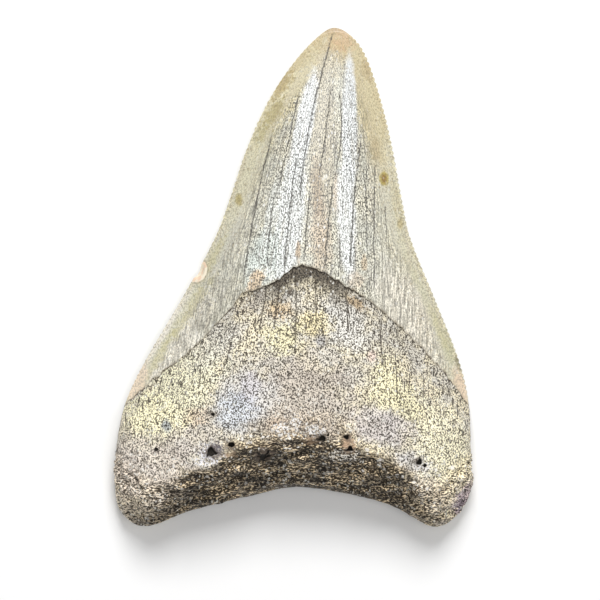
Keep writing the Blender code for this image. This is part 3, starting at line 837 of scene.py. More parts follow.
def add_skin_facts(mesh):
    """Makes the chips and pores, and keeps what the trees and finishes read."""
    across, along, flat = (read(mesh, name) for name in ("across", "along", "flat"))
    points = read_points(mesh)
    pit, halo = sink_pores(points, flat)
    chip = scoop_chips(points)
    from_edge = outline_distance(points)
    neck = np.full(len(points), NECK)
    enamel_end = np.where(
        flat > 0.5,
        plan(across, neck, FLAT_ENAMEL_END)[:, 1],
        plan(across, neck, ENAMEL_END, ROOT_CREST)[:, 1],
    )
    fade = ease(*SERRATION_START, along) * ease(*SERRATION_END, along)
    fade *= 1 - ease(0, SERRATION_REACH, from_edge)
    fade *= (1 - chip) * serration_wear(points, across)
    for name, values in (
        ("pit", pit), ("halo", halo), ("chip", chip), ("from_edge", from_edge / MM),
        ("below_enamel", (enamel_end - points[:, 1]) / MM), ("edge_run", along / NECK),
    ):
        keep(mesh, name, values)
    keep(mesh, "edge_out", edge_vectors(along, across) * fade[:, None], "FLOAT_VECTOR")
    keep(mesh, "grain_way", grain_way(points) / MM, "FLOAT_VECTOR")
    mesh.vertices.foreach_set("co", points.ravel())
    mesh.update()


class Value:
    """A node's output, which can be added, multiplied and blended like a number."""

    def __init__(self, nodes, socket):
        self.nodes, self.socket = nodes, socket

    def __add__(self, other):
        return self.nodes.math("ADD", self, other)

    def __sub__(self, other):
        return self.nodes.math("SUBTRACT", self, other)

    def __rsub__(self, other):
        return self.nodes.math("SUBTRACT", other, self)

    def __mul__(self, other):
        return self.nodes.math("MULTIPLY", self, other)

    def __rtruediv__(self, other):
        return self.nodes.math("DIVIDE", other, self)

    def __abs__(self):
        return self.nodes.math("ABSOLUTE", self)

    def remap(self, low, high, to_low=0.0, to_high=1.0):
        """A smooth step from one value to another, as this goes from low to high."""
        return self.nodes.out(
            "ShaderNodeMapRange", self, low, high, to_low, to_high,
            interpolation_type="SMOOTHSTEP",
        )

    def tinted(self, share, tint, how="MIX"):
        """This colour, with another laid over a share of it."""
        return self.nodes.blend(share, self, tint, how)

    def washed(self, mask, wash):
        """This colour under a wash, which is a share and a colour, where a mask is."""
        share, tint = wash
        return self.tinted(mask * share, tint)


class Nodes:
    """Adds nodes to one tree, and feeds them with numbers, colours or Values."""

    def __init__(self, tree):
        self.tree = tree

    def feed(self, socket, value):
        if isinstance(value, Value):
            self.tree.links.new(value.socket, socket)
        elif socket.type == "RGBA":
            socket.default_value = (*value[:3], 1.0)
        else:
            socket.default_value = value

    def add(self, kind, *values, named=(), **settings):
        made = self.tree.nodes.new(kind)
        for name, value in settings.items():
            setattr(made, name, value)
        for socket, value in zip(made.inputs, values):
            self.feed(socket, value)
        for name, value in dict(named).items():
            self.feed(made.inputs[name], value)
        return made

    def out(self, kind, *values, output=0, **more):
        """One output of a new node."""
        return Value(self, self.add(kind, *values, **more).outputs[output])

    def outs(self, kind, *values, **more):
        """Every output of a new node."""
        made = self.add(kind, *values, **more)
        return [Value(self, socket) for socket in made.outputs]

    def cells(self, named, **settings):
        """The distance to the middle of the nearest cell, and that cell's own number."""
        made = self.add("ShaderNodeTexVoronoi", named=named, **settings)
        distance, tint = (Value(self, made.outputs[n]) for n in ("Distance", "Color"))
        return distance, self.axes(tint)[0]

    def math(self, operation, *values, clamp=False):
        return self.out("ShaderNodeMath", *values, operation=operation, use_clamp=clamp)

    def vector(self, operation, *values, output="Vector", **more):
        return self.out(
            "ShaderNodeVectorMath", *values, output=output, operation=operation, **more
        )

    def length(self, vector):
        return self.vector("LENGTH", vector, output="Value")

    def scaled(self, vector, amount):
        return self.vector("SCALE", vector, named={"Scale": amount})

    def stretched(self, vector, *scale):
        """A vector with each of its axes multiplied."""
        return self.out("ShaderNodeMapping", vector, (0, 0, 0), (0, 0, 0), scale)

    def axes(self, vector):
        return self.outs("ShaderNodeSeparateXYZ", vector)

    def noise(self, vector, size, detail=2.0, roughness=0.5):
        """Noise about 0.5, whose lumps are this big in the vector's own unit."""
        named = {
            "Vector": vector, "Scale": 1 / size, "Detail": detail, "Roughness": roughness,
        }
        return self.out("ShaderNodeTexNoise", named=named)

    def blend(self, share, a, b, how="MIX"):
        """A colour, between colour a and colour b."""
        made = self.add("ShaderNodeMix", data_type="RGBA", blend_type=how)
        for place, value in ((0, share), (6, a), (7, b)):
            self.feed(made.inputs[place], value)
        return Value(self, made.outputs[2])


FLOAT, VECTOR, INTEGER = "NodeSocketFloat", "NodeSocketVector", "NodeSocketInt"
GEOMETRY, MATERIAL = "NodeSocketGeometry", "NodeSocketMaterial"


def new_group(name, kind, inputs, outputs):
    """An empty node group: its nodes, its inputs by name and its output node."""
    group = bpy.data.node_groups.new(name, kind)
    for socket, socket_type, *default in inputs:
        made = group.interface.new_socket(
            name=socket, in_out="INPUT", socket_type=socket_type
        )
        for value in default:
            made.default_value = value
    for socket, socket_type in outputs:
        group.interface.new_socket(name=socket, in_out="OUTPUT", socket_type=socket_type)
    nodes = Nodes(group)
    start = nodes.add("NodeGroupInput")
    given = {socket.name: Value(nodes, socket) for socket in start.outputs}
    return nodes, given, nodes.add("NodeGroupOutput")


def kept(nodes, name, kind="FLOAT"):
    """A kept fact of the skin, in a geometry tree."""
    named = {"Name": name}
    return nodes.out("GeometryNodeInputNamedAttribute", named=named, data_type=kind)


def move_and_dress(nodes, given, end, offset, chosen=True):
    """Ends a tree: moves the skin, and gives the chosen faces the tree's material."""
    moved = nodes.out(
        "GeometryNodeSetPosition", given["Geometry"], named={"Offset": offset}
    )
    real = nodes.out("GeometryNodeRealizeInstances", moved)
    dressed = nodes.out(
        "GeometryNodeSetMaterial", real,
        named={"Selection": chosen, "Material": given["Material"]},
    )
    nodes.feed(end.inputs[0], dressed)
    return nodes.tree


def serrated_edge_tree():
    """Waves the cutting edges in and out, and grooves the enamel between."""
    nodes, given, end = new_group(
        "serrated_edge", "GeometryNodeTree",
        (
            ("Geometry", GEOMETRY), ("Serrations", INTEGER, SERRATIONS),
            ("Serration Depth", FLOAT, 0.0002), ("Serration Groove", FLOAT, 0.0001),
            ("Margin Groove", FLOAT, 0.0001), ("Material", MATERIAL),
        ),
        (("Geometry", GEOMETRY),),
    )
    outward = kept(nodes, "edge_out", "FLOAT_VECTOR")
    from_edge, along = kept(nodes, "from_edge"), kept(nodes, "along")
    turn = kept(nodes, "edge_run") * given["Serrations"]
    point = abs(nodes.math("SINE", turn * math.pi))
    push = (point - 0.5) * given["Serration Depth"]
    valley = (point - 1.0) * nodes.length(outward) * given["Serration Groove"]
    valley = valley * from_edge.remap(0.0, 0.35)
    margin = from_edge.remap(*HOLLOW_OUTER) * from_edge.remap(*HOLLOW_INNER)
    crown = along.remap(0.05, 0.20) * along.remap(NECK - 0.02, NECK - 0.12)
    sink = valley - margin * crown * given["Margin Groove"]
    normal = nodes.out("GeometryNodeInputNormal")
    offset = nodes.vector("ADD", nodes.scaled(outward, push), nodes.scaled(normal, sink))
    return move_and_dress(nodes, given, end, offset)


def weathered_root_tree():
    """Roughens the root with grain and small pits, and gives it its finish."""
    nodes, given, end = new_group(
        "weathered_root", "GeometryNodeTree",
        (
            ("Geometry", GEOMETRY), ("Grain Size", FLOAT, 0.001),
            ("Grain Height", FLOAT, 0.0001), ("Pit Spacing", FLOAT, 0.001),
            ("Pit Depth", FLOAT, 0.0002), ("Ledge Size", FLOAT, 0.001),
            ("Ledge Height", FLOAT, 0.0002), ("Seed", FLOAT, 3.0),
            ("Material", MATERIAL),
        ),
        (("Geometry", GEOMETRY),),
    )
    along = kept(nodes, "along")
    place = nodes.out("GeometryNodeInputPosition")

    def seeded(vector, size):
        scaled = nodes.vector("DIVIDE", vector, given[size])
        return {"Vector": scaled, "W": given["Seed"], "Scale": 1.0}

    def lumps(vector, size):
        named = {**seeded(vector, size), "Detail": 2.0, "Roughness": 0.6}
        return nodes.out("ShaderNodeTexNoise", named=named, noise_dimensions="4D")

    grain = (lumps(place, "Grain Size") - 0.5) * 2.0
    distance, chosen = nodes.cells(seeded(place, "Pit Spacing"), voronoi_dimensions="4D")
    under = along.remap(CREST - 0.1, CREST + 0.1)
    width = chosen.remap(0.35, 1.0, 0.0, 0.45) * (under + 0.55)
    hole = nodes.math("SUBTRACT", width, distance, clamp=True)
    hole = hole * nodes.math("DIVIDE", given["Pit Depth"], 0.3)
    layers = lumps(nodes.vector("MULTIPLY", place, (0.22, 1.0, 1.0)), "Ledge Size")
    ledges = layers.remap(0.40, 0.58, -1.0, 1.0) * under * given["Ledge Height"]
    height = grain * given["Grain Height"] - hole + ledges
    inward_only = nodes.math("MINIMUM", height, 0.0)
    flat = nodes.math("GREATER_THAN", kept(nodes, "flat"), 0.5)
    height = height + flat * (inward_only - height)
    on_root = along.remap(NECK + STEP_LENGTH, NECK + 0.08)
    from_rim = along.remap(BASE - 0.03, BASE - 0.30, 0.2, 1.0)
    height = height * (on_root * from_rim)
    offset = nodes.scaled(nodes.out("GeometryNodeInputNormal"), height)
    bare = nodes.math("GREATER_THAN", along, NECK + 0.001)
    return move_and_dress(nodes, given, end, offset, bare)


def add_tree(obj, tree, settings, material):
    """A modifier whose inputs, set by identifier, take the settings of their names."""
    modifier = obj.modifiers.new(tree.name, "NODES")
    modifier.node_group = tree
    values = {"Material": material}
    for name in type(settings).__annotations__:
        values[name.replace("_", " ").title()] = getattr(settings, name)
    for item in tree.interface.items_tree:
        if item.in_out == "INPUT" and item.name in values:
            modifier[item.identifier] = values[item.name]


def soft_patch_group():
    """A ragged-edged oval: 1 inside it and 0 outside."""
    nodes, given, end = new_group(
        "soft_patch", "ShaderNodeTree",
        (
            ("Vector", VECTOR), ("Centre", VECTOR), ("Turn", VECTOR), ("Radii", VECTOR),
            ("Softness", FLOAT, 0.4), ("Raggedness", FLOAT, 0.5), ("Lump Size", FLOAT, 2.0),
        ),
        (("Mask", FLOAT),),
    )
    placed_by = [given[name] for name in ("Vector", "Centre", "Turn", "Radii")]
    local = nodes.out("ShaderNodeMapping", *placed_by, vector_type="TEXTURE")
    lumps = nodes.noise(given["Vector"], given["Lump Size"], 3.0, 0.65)
    reach = nodes.length(local) + (lumps - 0.5) * 3.0 * given["Raggedness"]
    outer, inner = given["Softness"] + 1.0, 1.0 - given["Softness"]
    nodes.feed(end.inputs[0], reach.remap(outer, inner))
    return nodes.tree


def hairline_crack_group():
    """A thin wavering line from one end, through a bend, to the other end."""
    nodes, given, end = new_group(
        "hairline_crack", "ShaderNodeTree",
        (
            ("Vector", VECTOR), ("Start", VECTOR), ("End", VECTOR),
            ("Bend", FLOAT, 0.0), ("Width", FLOAT, 0.1), ("Waver", FLOAT, 0.5),
        ),
        (("Mask", FLOAT),),
    )
    (x, y, _), (x0, y0, _), (x1, y1, _) = (
        nodes.axes(given[name]) for name in ("Vector", "Start", "End")
    )
    run = nodes.math("DIVIDE", y0 - y, y0 - y1)
    left = 1.0 - run
    straight = x0 * left + x1 * run
    bow = run * left * 4.0 * given["Bend"]
    wander = nodes.noise(given["Vector"], 2.5, 3.0, 0.6) - 0.5
    jitter = nodes.noise(given["Vector"], 0.6, 1.0) - 0.5
    off = abs(x - (straight + bow) + (wander + jitter * 0.6) * given["Waver"])
    line = off.remap(given["Width"] * 1.8, 0.02)
    within = run.remap(0.0, 0.06) * left.remap(0.0, 0.1)
    broken = nodes.noise(given["Vector"], 0.5, 2.0).remap(0.38, 0.50, 0.50, 1.0)
    nodes.feed(end.inputs[0], line * within * broken)
    return nodes.tree


def speckle_group():
    """Fine mineral grain: its tone, dark specks, pale specks and its height."""
    outputs = ("Tone", "Dark Specks", "Pale Specks", "Height")
    nodes, given, end = new_group(
        "mineral_speckle", "ShaderNodeTree",
        (
            ("Vector", VECTOR), ("Size", FLOAT, 0.3), ("Dark", FLOAT, 0.5),
            ("Pale", FLOAT, 0.5), ("Dark Ground", FLOAT, 0.0),
        ),
        [(name, FLOAT) for name in outputs],
    )
    worms = nodes.noise(given["Vector"], given["Size"], 1.5, 0.6)
    shift = given["Dark Ground"] * 0.10
    tone = worms.remap(shift + 0.43, shift + 0.525)
    scale = 1 / given["Size"] * 0.55
    distance, chosen = nodes.cells({"Vector": given["Vector"], "Scale": scale})
    off = distance + (worms - 0.5) * 1.4
    dark_reach = chosen.remap(1.0 - given["Dark"], 1.0, 0.0, 0.55)
    pale_reach = chosen.remap(given["Pale"], 0.0, 0.0, 0.55)
    dark, pale = (off.remap(reach, reach - 0.16) for reach in (dark_reach, pale_reach))
    height = worms + pale * 0.25 - dark * 0.30
    for socket, value in zip(end.inputs, (tone, dark, pale, height)):
        nodes.feed(socket, value)
    return nodes.tree


def fact(nodes, name, output="Fac"):
    """A kept fact of the skin, in a material."""
    return nodes.out("ShaderNodeAttribute", attribute_name=name, output=output)


def common_facts(nodes):
    """The place in mm, the fibres' way, the depth below the enamel, and the face."""
    place = nodes.out("ShaderNodeTexCoord", output="Object")
    where = nodes.stretched(place, 1 / MM, 1 / MM, 1 / MM)
    way = fact(nodes, "grain_way", "Vector")
    return where, way, fact(nodes, "below_enamel"), 1.0 - fact(nodes, "flat")


def placed(nodes, group, *values):
    """One use of a shared group, with its own values."""
    return nodes.outs("ShaderNodeGroup", *values, node_tree=group)


def patch(nodes, group, where, centre, radii, turn, soft, ragged, lumps):
    """A soft patch given by its centre, radii and turn, in mm and degrees.

    One that is given in X and Y only goes through all heights.
    """
    turned = (0, 0, math.radians(turn))
    centre, radii = (*centre, 0)[:3], (*radii, ALL_HEIGHTS)[:3]
    return placed(nodes, group, where, centre, turned, radii, soft, ragged, lumps)[0]


def new_material(name):
    material = bpy.data.materials.new(name)
    material.use_nodes = True
    tree = material.node_tree
    return material, Nodes(tree), tree.nodes["Principled BSDF"]


def painted(base, patches, groups, where, share):
    """Lays patches over a base colour, one after the other."""
    for *shape, strength, tint in patches:
        mask = patch(base.nodes, groups["patch"], where, *shape)
        base = base.tinted(mask * strength * share, tint)
    return base


def crack_mask(nodes, groups, where, cracks, face_up):
    """The strongest of the cracks at each place of the bulging face."""
    lines = [
        placed(nodes, groups["crack"], where, (*upper, 0), (*lower, 0), bend, width)[0]
        for upper, lower, bend, width in cracks
    ]
    found = lines[0]
    for line in lines[1:]:
        found = nodes.math("MAXIMUM", found, line)
    return found * face_up


def fibres(nodes, way, across, along, detail=2.0):
    """Noise that is drawn out along the fibres."""
    return nodes.noise(nodes.stretched(way, 1 / across, 1 / along, 1), 1.0, detail)


def finish(nodes, shader, base, rough, relief, bump):
    """Feeds a surface's colour, roughness and fine relief."""
    nodes.feed(shader.inputs["Base Color"], base)
    nodes.feed(shader.inputs["Roughness"], rough)
    named = {"Strength": bump[0], "Distance": bump[1], "Height": relief}
    nodes.feed(shader.inputs["Normal"], nodes.out("ShaderNodeBump", named=named))


def enamel_material(settings, groups):
    material, nodes, shader = new_material("worn_enamel")
    where, way, below, face_up = common_facts(nodes)
    from_edge, chip = fact(nodes, "from_edge"), fact(nodes, "chip")

    # The ground, and the mottled margin along the cutting edges.
    clouds = nodes.noise(where, 6.0, 3.0, 0.6)
    tones = settings.enamel_grey, settings.enamel_cream
    base = nodes.blend(clouds.remap(0.38, 0.62), *tones)
    margin = from_edge.remap(*MARGIN_REACH) * MARGIN_SHARE
    base = base.tinted(margin, settings.enamel_margin)
    mottle = nodes.noise(where, 0.8, 4.0, 0.7)
    rim = from_edge.remap(*RIM_REACH) * mottle.remap(0.40, 0.60)
    base = base.washed(rim, RIM_CREAM)
    base = base.washed(mottle.remap(0.48, 0.36), MOTTLE_BROWN)
    beads = nodes.noise(where, 0.33, 1.0).remap(0.46, 0.34)
    base = base.washed(beads * from_edge.remap(*BEAD_REACH), BEAD_BROWN)
    base = painted(base, ENAMEL_PATCHES, groups, where, face_up)
    freckles = nodes.noise(where, 0.42, 3.0, 0.7).remap(0.46, 0.38)
    base = base.washed(freckles * from_edge.remap(*FRECKLE_REACH), FRECKLE_BROWN)
    strayed = from_edge + (nodes.noise(where, 2.2, 3.0) - 0.5)
    band = strayed.remap(*BAND_OUTER) * strayed.remap(*BAND_INNER)
    base = base.tinted(band * below.remap(-32.0, -12.0, 0.12, 0.60), BAND_GREEN)
    base = painted(base, EDGE_PATCHES, groups, where, face_up)

    # Streaks and hatching along the fibres, inside a clean margin.
    reach_in = from_edge + (clouds - 0.5) * 3.0 + below.remap(-26.0, -12.0, 0.0, 0.9)
    inner = reach_in.remap(*CLEAN_MARGIN)
    side = abs(nodes.axes(way)[0]).remap(*ENAMEL_SIDE)
    streaks = fibres(nodes, way, 0.9, 14.0).remap(0.54, 0.72)
    base = base.washed(streaks, STREAK_BROWN)
    hatch = fibres(nodes, way, 0.26, 3.2, 1.0).remap(0.38, 0.60)
    hatch = nodes.blend(hatch, *HATCH_TONES)
    base = base.tinted(side.remap(0.0, 1.0, 0.45, 0.92) * inner, hatch, "MULTIPLY")
    long_lines = fibres(nodes, way, 0.34, 9.0, 1.0).remap(0.40, 0.33)
    lines = fibres(nodes, way, 0.22, 1.3, 1.0)
    dashes = nodes.math("MAXIMUM", lines.remap(0.44, 0.36), long_lines) * inner
    base = base.tinted(dashes * side.remap(0.0, 1.0, 0.70, 0.62), ENAMEL_DASH)

    # The grain, which is rubbed away towards the edges.
    drawn_out = nodes.stretched(way, 1.0, 0.6, 1.0)
    tone, dark, pale, height = placed(nodes, groups["speckle"], drawn_out, *ENAMEL_SPECKLE)
    rub = inner * clouds.remap(0.36, 0.60, 0.70, 1.0) * side.remap(0.0, 1.0, 1.0, 0.48)
    rub = nodes.math("MAXIMUM", rub, 0.32)
    base = base.tinted(rub, nodes.blend(tone, *ENAMEL_GRAIN_TONES), "MULTIPLY")
    base = base.washed(dark * rub, ENAMEL_SPECK)
    base = base.washed(pale * rub, ENAMEL_GLINT)

    # Cracks, the stained lip above the root, and the break of the left edge.
    cracks = crack_mask(nodes, groups, where, CRACKS, face_up)
    base = base.washed(cracks, ENAMEL_CRACK)
    lip = (below + nodes.noise(where, 1.2) * 0.8).remap(-0.1, 0.5)
    base = base.washed(lip, LIP_BROWN)
    chip_tint = nodes.blend(nodes.noise(where, 1.1).remap(0.42, 0.58), *CHIP_TONES)
    base = base.tinted(chip.remap(0.35, 0.75, 0.0, 0.95), chip_tint)
    chip_line = chip.remap(0.05, 0.25) * chip.remap(0.60, 0.35)
    base = base.washed(chip_line, CHIP_LINE)

    rough = nodes.math("ADD", height.remap(0.3, 0.7, 0.34, 0.50), chip * 0.3, clamp=True)
    relief = (lines * 0.5 + height * 0.8) * inner - cracks * 1.2
    finish(nodes, shader, base, rough, relief, ENAMEL_BUMP)
    shader.inputs["IOR"].default_value = ENAMEL_IOR
    return material


def root_material(settings, groups):
    material, nodes, shader = new_material("porous_root")
    where, way, below, face_up = common_facts(nodes)
    along, pit, chip = (fact(nodes, name) for name in ("along", "pit", "chip"))

    # The ground, and the painted shade below the middle of the enamel's lip.
    clouds = nodes.noise(where, 5.0, 4.0, 0.65)
    tones = settings.root_grey, settings.root_cream
    base = nodes.blend(clouds.remap(0.40, 0.60), *tones)
    base = painted(base, ROOT_PATCHES, groups, where, face_up)
    lip_shade = (below + (clouds - 0.5) * 9.0).remap(5.5, 1.0)
    lip_shade = lip_shade * (patch(nodes, groups["patch"], where, *LIP_SHADE_PATCH) + 0.12)
    base = base.washed(lip_shade, LIP_SHADE_BROWN)

    # The underside's layers, darkened by dirt and by painted shade of the face turned from
    # the light, and the broken lobe.
    ledges = nodes.noise(nodes.stretched(where, 0.14, 0.8, 0.8), 1.0, 4.0, 0.6)
    sideways = abs(nodes.axes(where)[0])
    under_edge = along + clouds * 0.30 - sideways.remap(*DROP_SIDE, 0.0, 0.16)
    under = under_edge.remap(CREST - 0.06, CREST + 0.26)
    tones = settings.underside_dark_shaded, settings.underside_pale_shaded
    underside_dirt_and_shade_tint = nodes.blend(ledges.remap(0.43, 0.58), *tones)
    underside_dirt_and_shade = under * sideways.remap(*LOBE_SIDE, 0.94, 0.32)
    base = base.tinted(underside_dirt_and_shade, underside_dirt_and_shade_tint)
    broken = nodes.blend(nodes.noise(where, 0.8).remap(0.4, 0.6), *BROKEN_TONES)
    base = base.tinted(chip * BROKEN_SHARE, broken)
    base = painted(base, BROKEN_PATCHES, groups, where, face_up)

    # Dashes along the fibres, and the grain, which has more contrast underneath.
    upper = 1.0 - under
    dashes = fibres(nodes, way, 0.25, 1.7, 1.0).remap(0.42, 0.35) * upper
    base = base.washed(dashes * below.remap(20.0, 3.0, 0.25, 1.0), ROOT_DASH)
    drawn_out = nodes.stretched(where, 1.0, 0.8, 0.8)
    tone, dark, pale, height = placed(
        nodes, groups["speckle"], drawn_out, *ROOT_SPECKLE, underside_dirt_and_shade
    )
    layered = nodes.stretched(where, 0.45, 1.0, 1.0)
    layer_tone = placed(nodes, groups["speckle"], layered, *LAYER_SPECKLE, underside_dirt_and_shade)[0]
    tone = tone * upper + layer_tone * under
    low, high = (nodes.blend(underside_dirt_and_shade, *tones) for tones in (LOW_TONES, HIGH_TONES))
    base = base.tinted(1.0, nodes.blend(tone, low, high), "MULTIPLY")
    base = base.washed(dark, ROOT_SPECK)
    base = base.tinted(pale, base.tinted(GLINT_SHARE, ROOT_GLINT))
    sand = placed(nodes, groups["speckle"], where, *SAND_SPECKLE)[2]
    crest = along.remap(1.72, 1.95) * along.remap(2.6, 2.2, 0.4, 1.0)
    sanded = nodes.math("MAXIMUM", crest, lip_shade * 0.7)
    base = base.washed(sand * sanded, SAND_PALE)

    # Cracks and the dark seam under the enamel, then the pores: the dirt round them, and
    # their depths darkened by dirt and painted shade.
    cracks = crack_mask(nodes, groups, where, ROOT_CRACKS, face_up)
    base = base.washed(cracks, ROOT_CRACK)
    seam = (below + nodes.noise(where, 0.9) * 1.6).remap(1.20, 0.75)
    patchy = nodes.noise(where, 3.0).remap(0.38, 0.56, 0.35, 0.90)
    base = base.tinted(seam * patchy, ROOT_CRACK[1])
    base = painted(base, PORE_PATCHES, groups, where, face_up)
    crumbs = nodes.noise(where, 0.34, 2.0).remap(0.50, 0.545)
    base = painted(base, CRUMB_PATCHES, groups, where, crumbs * face_up)
    dirt = fact(nodes, "halo") * clouds.remap(0.3, 0.6)
    base = base.washed(dirt, DIRT_BROWN)
    # The pores' depths are painted near black: dirt with painted shade.
    base = base.tinted(pit.remap(0.18, 0.62), PIT_DIRT_AND_SHADE)

    relief = height - cracks * 0.8 - dashes * 0.4
    finish(nodes, shader, base, height.remap(0.3, 0.7, 0.72, 0.92), relief, ROOT_BUMP)
    shader.inputs["IOR"].default_value = ROOT_IOR
    return material


def floor_material(settings):
    material, nodes, shader = new_material("pale_floor")
    place = nodes.out("ShaderNodeTexCoord", output="Object")
    pale = settings.floor_colour
    dimmer = tuple(value * FLOOR_DIM for value in pale)
    tint = nodes.blend(nodes.noise(place, 0.4).remap(0.3, 0.7), pale, dimmer)
    nodes.feed(shader.inputs["Base Color"], tint)
    shader.inputs["Roughness"].default_value = 0.9
    return material


def linked(name, data):
    obj = bpy.data.objects.new(name, data)
    bpy.context.scene.collection.objects.link(obj)
    return obj


def made_real(obj):
    """A plain mesh of an object as its modifiers leave it."""
    depsgraph = bpy.context.evaluated_depsgraph_get()
    mesh = bpy.data.meshes.new_from_object(
        obj.evaluated_get(depsgraph), preserve_all_data_layers=True, depsgraph=depsgraph
    )
    obj.modifiers.clear()
    obj.data = mesh
    return mesh


def add_bake_map(mesh):
    """Unfolds the two faces side by side, each by its X and its run down the tooth."""
    corners = np.zeros(len(mesh.loops), np.int32)
    mesh.loops.foreach_get("vertex_index", corners)
    sizes = np.zeros(len(mesh.polygons), np.int32)
    mesh.polygons.foreach_get("loop_total", sizes)
    across = (read_points(mesh)[:, 0] - CAD_BOX[0].x) / (CAD_BOX[1].x - CAD_BOX[0].x)
    down = 1 - np.interp(read(mesh, "along"), [0, NECK, CREST, BASE], MAP_ROWS)
    owner = np.repeat(np.arange(len(sizes)), sizes)
    highest = np.zeros(len(sizes))
    np.maximum.at(highest, owner, read(mesh, "flat")[corners])
    half = np.where(highest > 0.5, 0.5, 0.0)[owner]
    uv = np.stack([
        MAP_MARGIN + across[corners] * (0.5 - 2 * MAP_MARGIN) + half,
        MAP_MARGIN + down[corners] * (1 - 2 * MAP_MARGIN),
    ], axis=-1)
    layer = mesh.uv_layers.new(name="OFBake")
    layer.data.foreach_set("uv", uv.ravel())


def length(name, description, default, high, low=0.0):
    return FloatProperty(
        name=name, description=description, default=default, min=low, max=high,
        precision=5, unit="LENGTH",
    )


def tint(name, description, default):
    return FloatVectorProperty(
        name=name, description=description, default=default, subtype="COLOR",
        min=0.0, max=1.0,
    )


class ToothSettings(bpy.types.PropertyGroup):
    """Sizes and colours of the tooth."""

    serrations: IntProperty(
        name="Serrations", description="Number of serrations on each cutting edge",
        default=SERRATIONS, min=1, max=400,
    )
    serration_depth: length(
        "Serration Depth", "How far the cutting edge waves in and out", 0.00026, 0.001
    )
    serration_groove: length(
        "Serration Groove", "Depth of the grooves between serrations", 0.00016, 0.001
    )
    margin_groove: length(
        "Margin Groove", "Depth of the hollow inside the cutting edges", 0.00022, 0.001
    )
    grain_size: length("Grain Size", "Size of the root's grain", 0.0013, 0.01, 0.0001)
    grain_height: length("Grain Height", "Height of the root's grain", 0.00026, 0.002)
    pit_spacing: length(
        "Pit Spacing", "Distance between the root's small pits", 0.0015, 0.02, 0.0002
    )
    pit_depth: length("Pit Depth", "Depth of the root's small pits", 0.0004, 0.003)
    ledge_size: length(
        "Ledge Size", "Thickness of the layers on the underside", 0.0016, 0.02, 0.0001
    )
    ledge_height: length(
        "Ledge Height", "How far those layers stand in and out", 0.00026, 0.002
    )
    enamel_grey: tint("Enamel Grey", "Cooler tone of the enamel", (0.585, 0.58, 0.505))
    enamel_cream: tint(
        "Enamel Cream", "Warmer tone of the enamel", (0.645, 0.615, 0.507)
    )
    enamel_margin: tint(
        "Enamel Margin", "Tone of the enamel near its cutting edges", (0.63, 0.59, 0.43)
    )
    root_grey: tint("Root Grey", "Cooler tone of the root", (0.52, 0.49, 0.43))
    root_cream: tint("Root Cream", "Warmer tone of the root", (0.62, 0.56, 0.42))
    # The underside's two tones are dark from dirt and from painted shade of the face turned
    # from the light.
    underside_dark_shaded: tint(
        "Underside Dark Shaded", "Darker layers of the root's underside", (0.028, 0.022, 0.016)
    )
    underside_pale_shaded: tint(
        "Underside Pale Shaded", "Paler layers of the root's underside", (0.21, 0.172, 0.12)
    )


class StageSettings(bpy.types.PropertyGroup):
    """The floor, the lights and the camera."""

    floor_colour: tint("Floor Colour", "Colour of the plain floor", (0.90, 0.90, 0.90))
    floor_size: length("Floor Size", "Length of each side of the floor", 4.0, 20.0, 0.2)
    key_power: FloatProperty(
        name="Key Light", description="Power of the big light beyond the tip",
        default=3.8, min=0.0, unit="POWER",
    )
    fill_power: FloatProperty(
        name="Fill Light", description="Power of the soft light above",
        default=1.1, min=0.0, unit="POWER",
    )
    sky: FloatProperty(
        name="Room Light", description="Brightness of the even light from all round",
        default=0.33, min=0.0, max=4.0,
    )
    camera_height: length(
        "Camera Height", "Height of the camera above the floor", 1.6, 20.0, 0.1
    )
    view_width: length(
        "View Width", "Width that the camera sees at the tooth", 0.102, 2.0, 0.01
    )
    view_centre: FloatVectorProperty(
        name="View Centre", description="The place straight below the camera",
        default=(0.001105, -0.00391, 0.003), subtype="TRANSLATION", unit="LENGTH",
    )


class FOSSIL_OT_make_tooth(bpy.types.Operator):
    """Make the tooth's fine skin with its serrations, pores and finishes"""

    bl_idname = "fossil.make_tooth"
    bl_label = "Make Tooth"
    bl_options = {"REGISTER", "UNDO"}

    def execute(self, context):
        settings = context.scene.fossil_tooth
        groups = {
            "patch": soft_patch_group(),
            "crack": hairline_crack_group(),
            "speckle": speckle_group(),
        }
        enamel = enamel_material(settings, groups)
        root = root_material(settings, groups)
        mesh = tooth_mesh()
        add_skin_facts(mesh)
        mesh.materials.append(enamel)
        mesh.materials.append(root)
        tooth = linked("fossil_tooth", mesh)
        add_tree(tooth, serrated_edge_tree(), settings, enamel)
        add_tree(tooth, weathered_root_tree(), settings, root)
        mesh = made_real(tooth)
        if not mesh.polygons:
            raise RuntimeError("the tooth has no faces")
        add_bake_map(mesh)
        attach(tooth, "root")
        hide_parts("tooth")
        return {"FINISHED"}


def area_light(name, place, size, power):
    data = bpy.data.lights.new(name, "AREA")
    data.shape = "DISK"
    data.size = size
    data.energy = power
    light = linked(name, data)
    light.location = place
    aim = Vector(LIGHT_TARGET) - Vector(place)
    light.rotation_euler = aim.to_track_quat("-Z", "Y").to_euler()


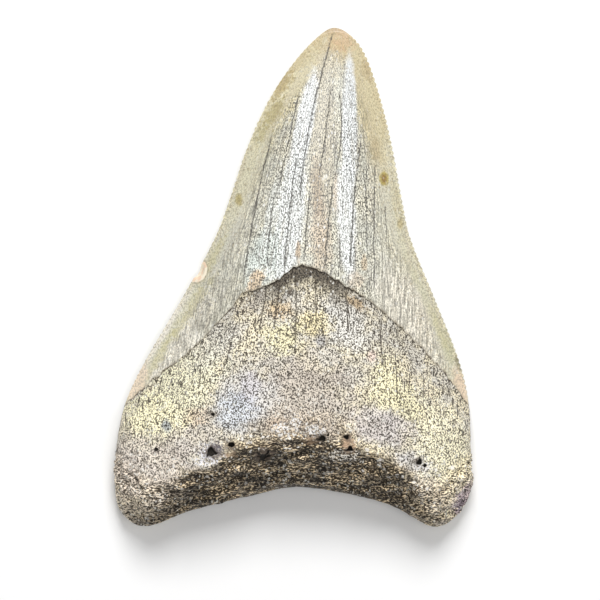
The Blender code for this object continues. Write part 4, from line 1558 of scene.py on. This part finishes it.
class FOSSIL_OT_make_stage(bpy.types.Operator):
    """Make the plain pale floor, the soft lights and the camera above the tooth"""

    bl_idname = "fossil.make_stage"
    bl_label = "Make Stage"
    bl_options = {"REGISTER", "UNDO"}

    def execute(self, context):
        settings = context.scene.fossil_stage
        scene = context.scene
        half = settings.floor_size / 2
        mesh = bpy.data.meshes.new("floor")
        corners = [(-half, -half, 0), (half, -half, 0), (half, half, 0), (-half, half, 0)]
        mesh.from_pydata(corners, [], [(0, 1, 2, 3)])
        mesh.materials.append(floor_material(settings))
        floor = linked("floor", mesh)

        area_light("key", KEY_PLACE, KEY_SIZE, settings.key_power)
        area_light("fill", FILL_PLACE, FILL_SIZE, settings.fill_power)
        world = bpy.data.worlds.new("studio")
        world.use_nodes = True
        background = world.node_tree.nodes["Background"]
        background.inputs["Color"].default_value = (1.0, 1.0, 1.0, 1.0)
        background.inputs["Strength"].default_value = settings.sky
        scene.world = world
        scene.view_settings.view_transform = "Standard"

        data = bpy.data.cameras.new("camera")
        centre = Vector(settings.view_centre)
        reach = settings.camera_height - centre.z
        data.lens = data.sensor_width * reach / settings.view_width
        data.clip_start = 0.01
        camera = linked("camera", data)
        camera.location = (centre.x, centre.y, settings.camera_height)
        scene.camera = camera
        return {"FINISHED"}


class FOSSIL_PT_tooth(bpy.types.Panel):
    """Settings and operators of the tooth and its stage"""

    bl_label = "Fossil Tooth"
    bl_idname = "FOSSIL_PT_tooth"
    bl_space_type = "VIEW_3D"
    bl_region_type = "UI"
    bl_category = "Fossil Tooth"

    def draw(self, context):
        for operator, settings in (
            (FOSSIL_OT_make_tooth, context.scene.fossil_tooth),
            (FOSSIL_OT_make_stage, context.scene.fossil_stage),
        ):
            box = self.layout.box()
            box.operator(operator.bl_idname)
            for name in type(settings).__annotations__:
                box.prop(settings, name)


CLASSES = (
    ToothSettings,
    StageSettings,
    FOSSIL_OT_make_tooth,
    FOSSIL_OT_make_stage,
    FOSSIL_PT_tooth,
)


def register():
    for cls in CLASSES:
        bpy.utils.register_class(cls)
    bpy.types.Scene.fossil_tooth = PointerProperty(type=ToothSettings)
    bpy.types.Scene.fossil_stage = PointerProperty(type=StageSettings)


def unregister():
    del bpy.types.Scene.fossil_stage
    del bpy.types.Scene.fossil_tooth
    for cls in reversed(CLASSES):
        bpy.utils.unregister_class(cls)


def main():
    register()
    bpy.ops.fossil.make_tooth()
    bpy.ops.fossil.make_stage()


if __name__ == "__main__":
    main()
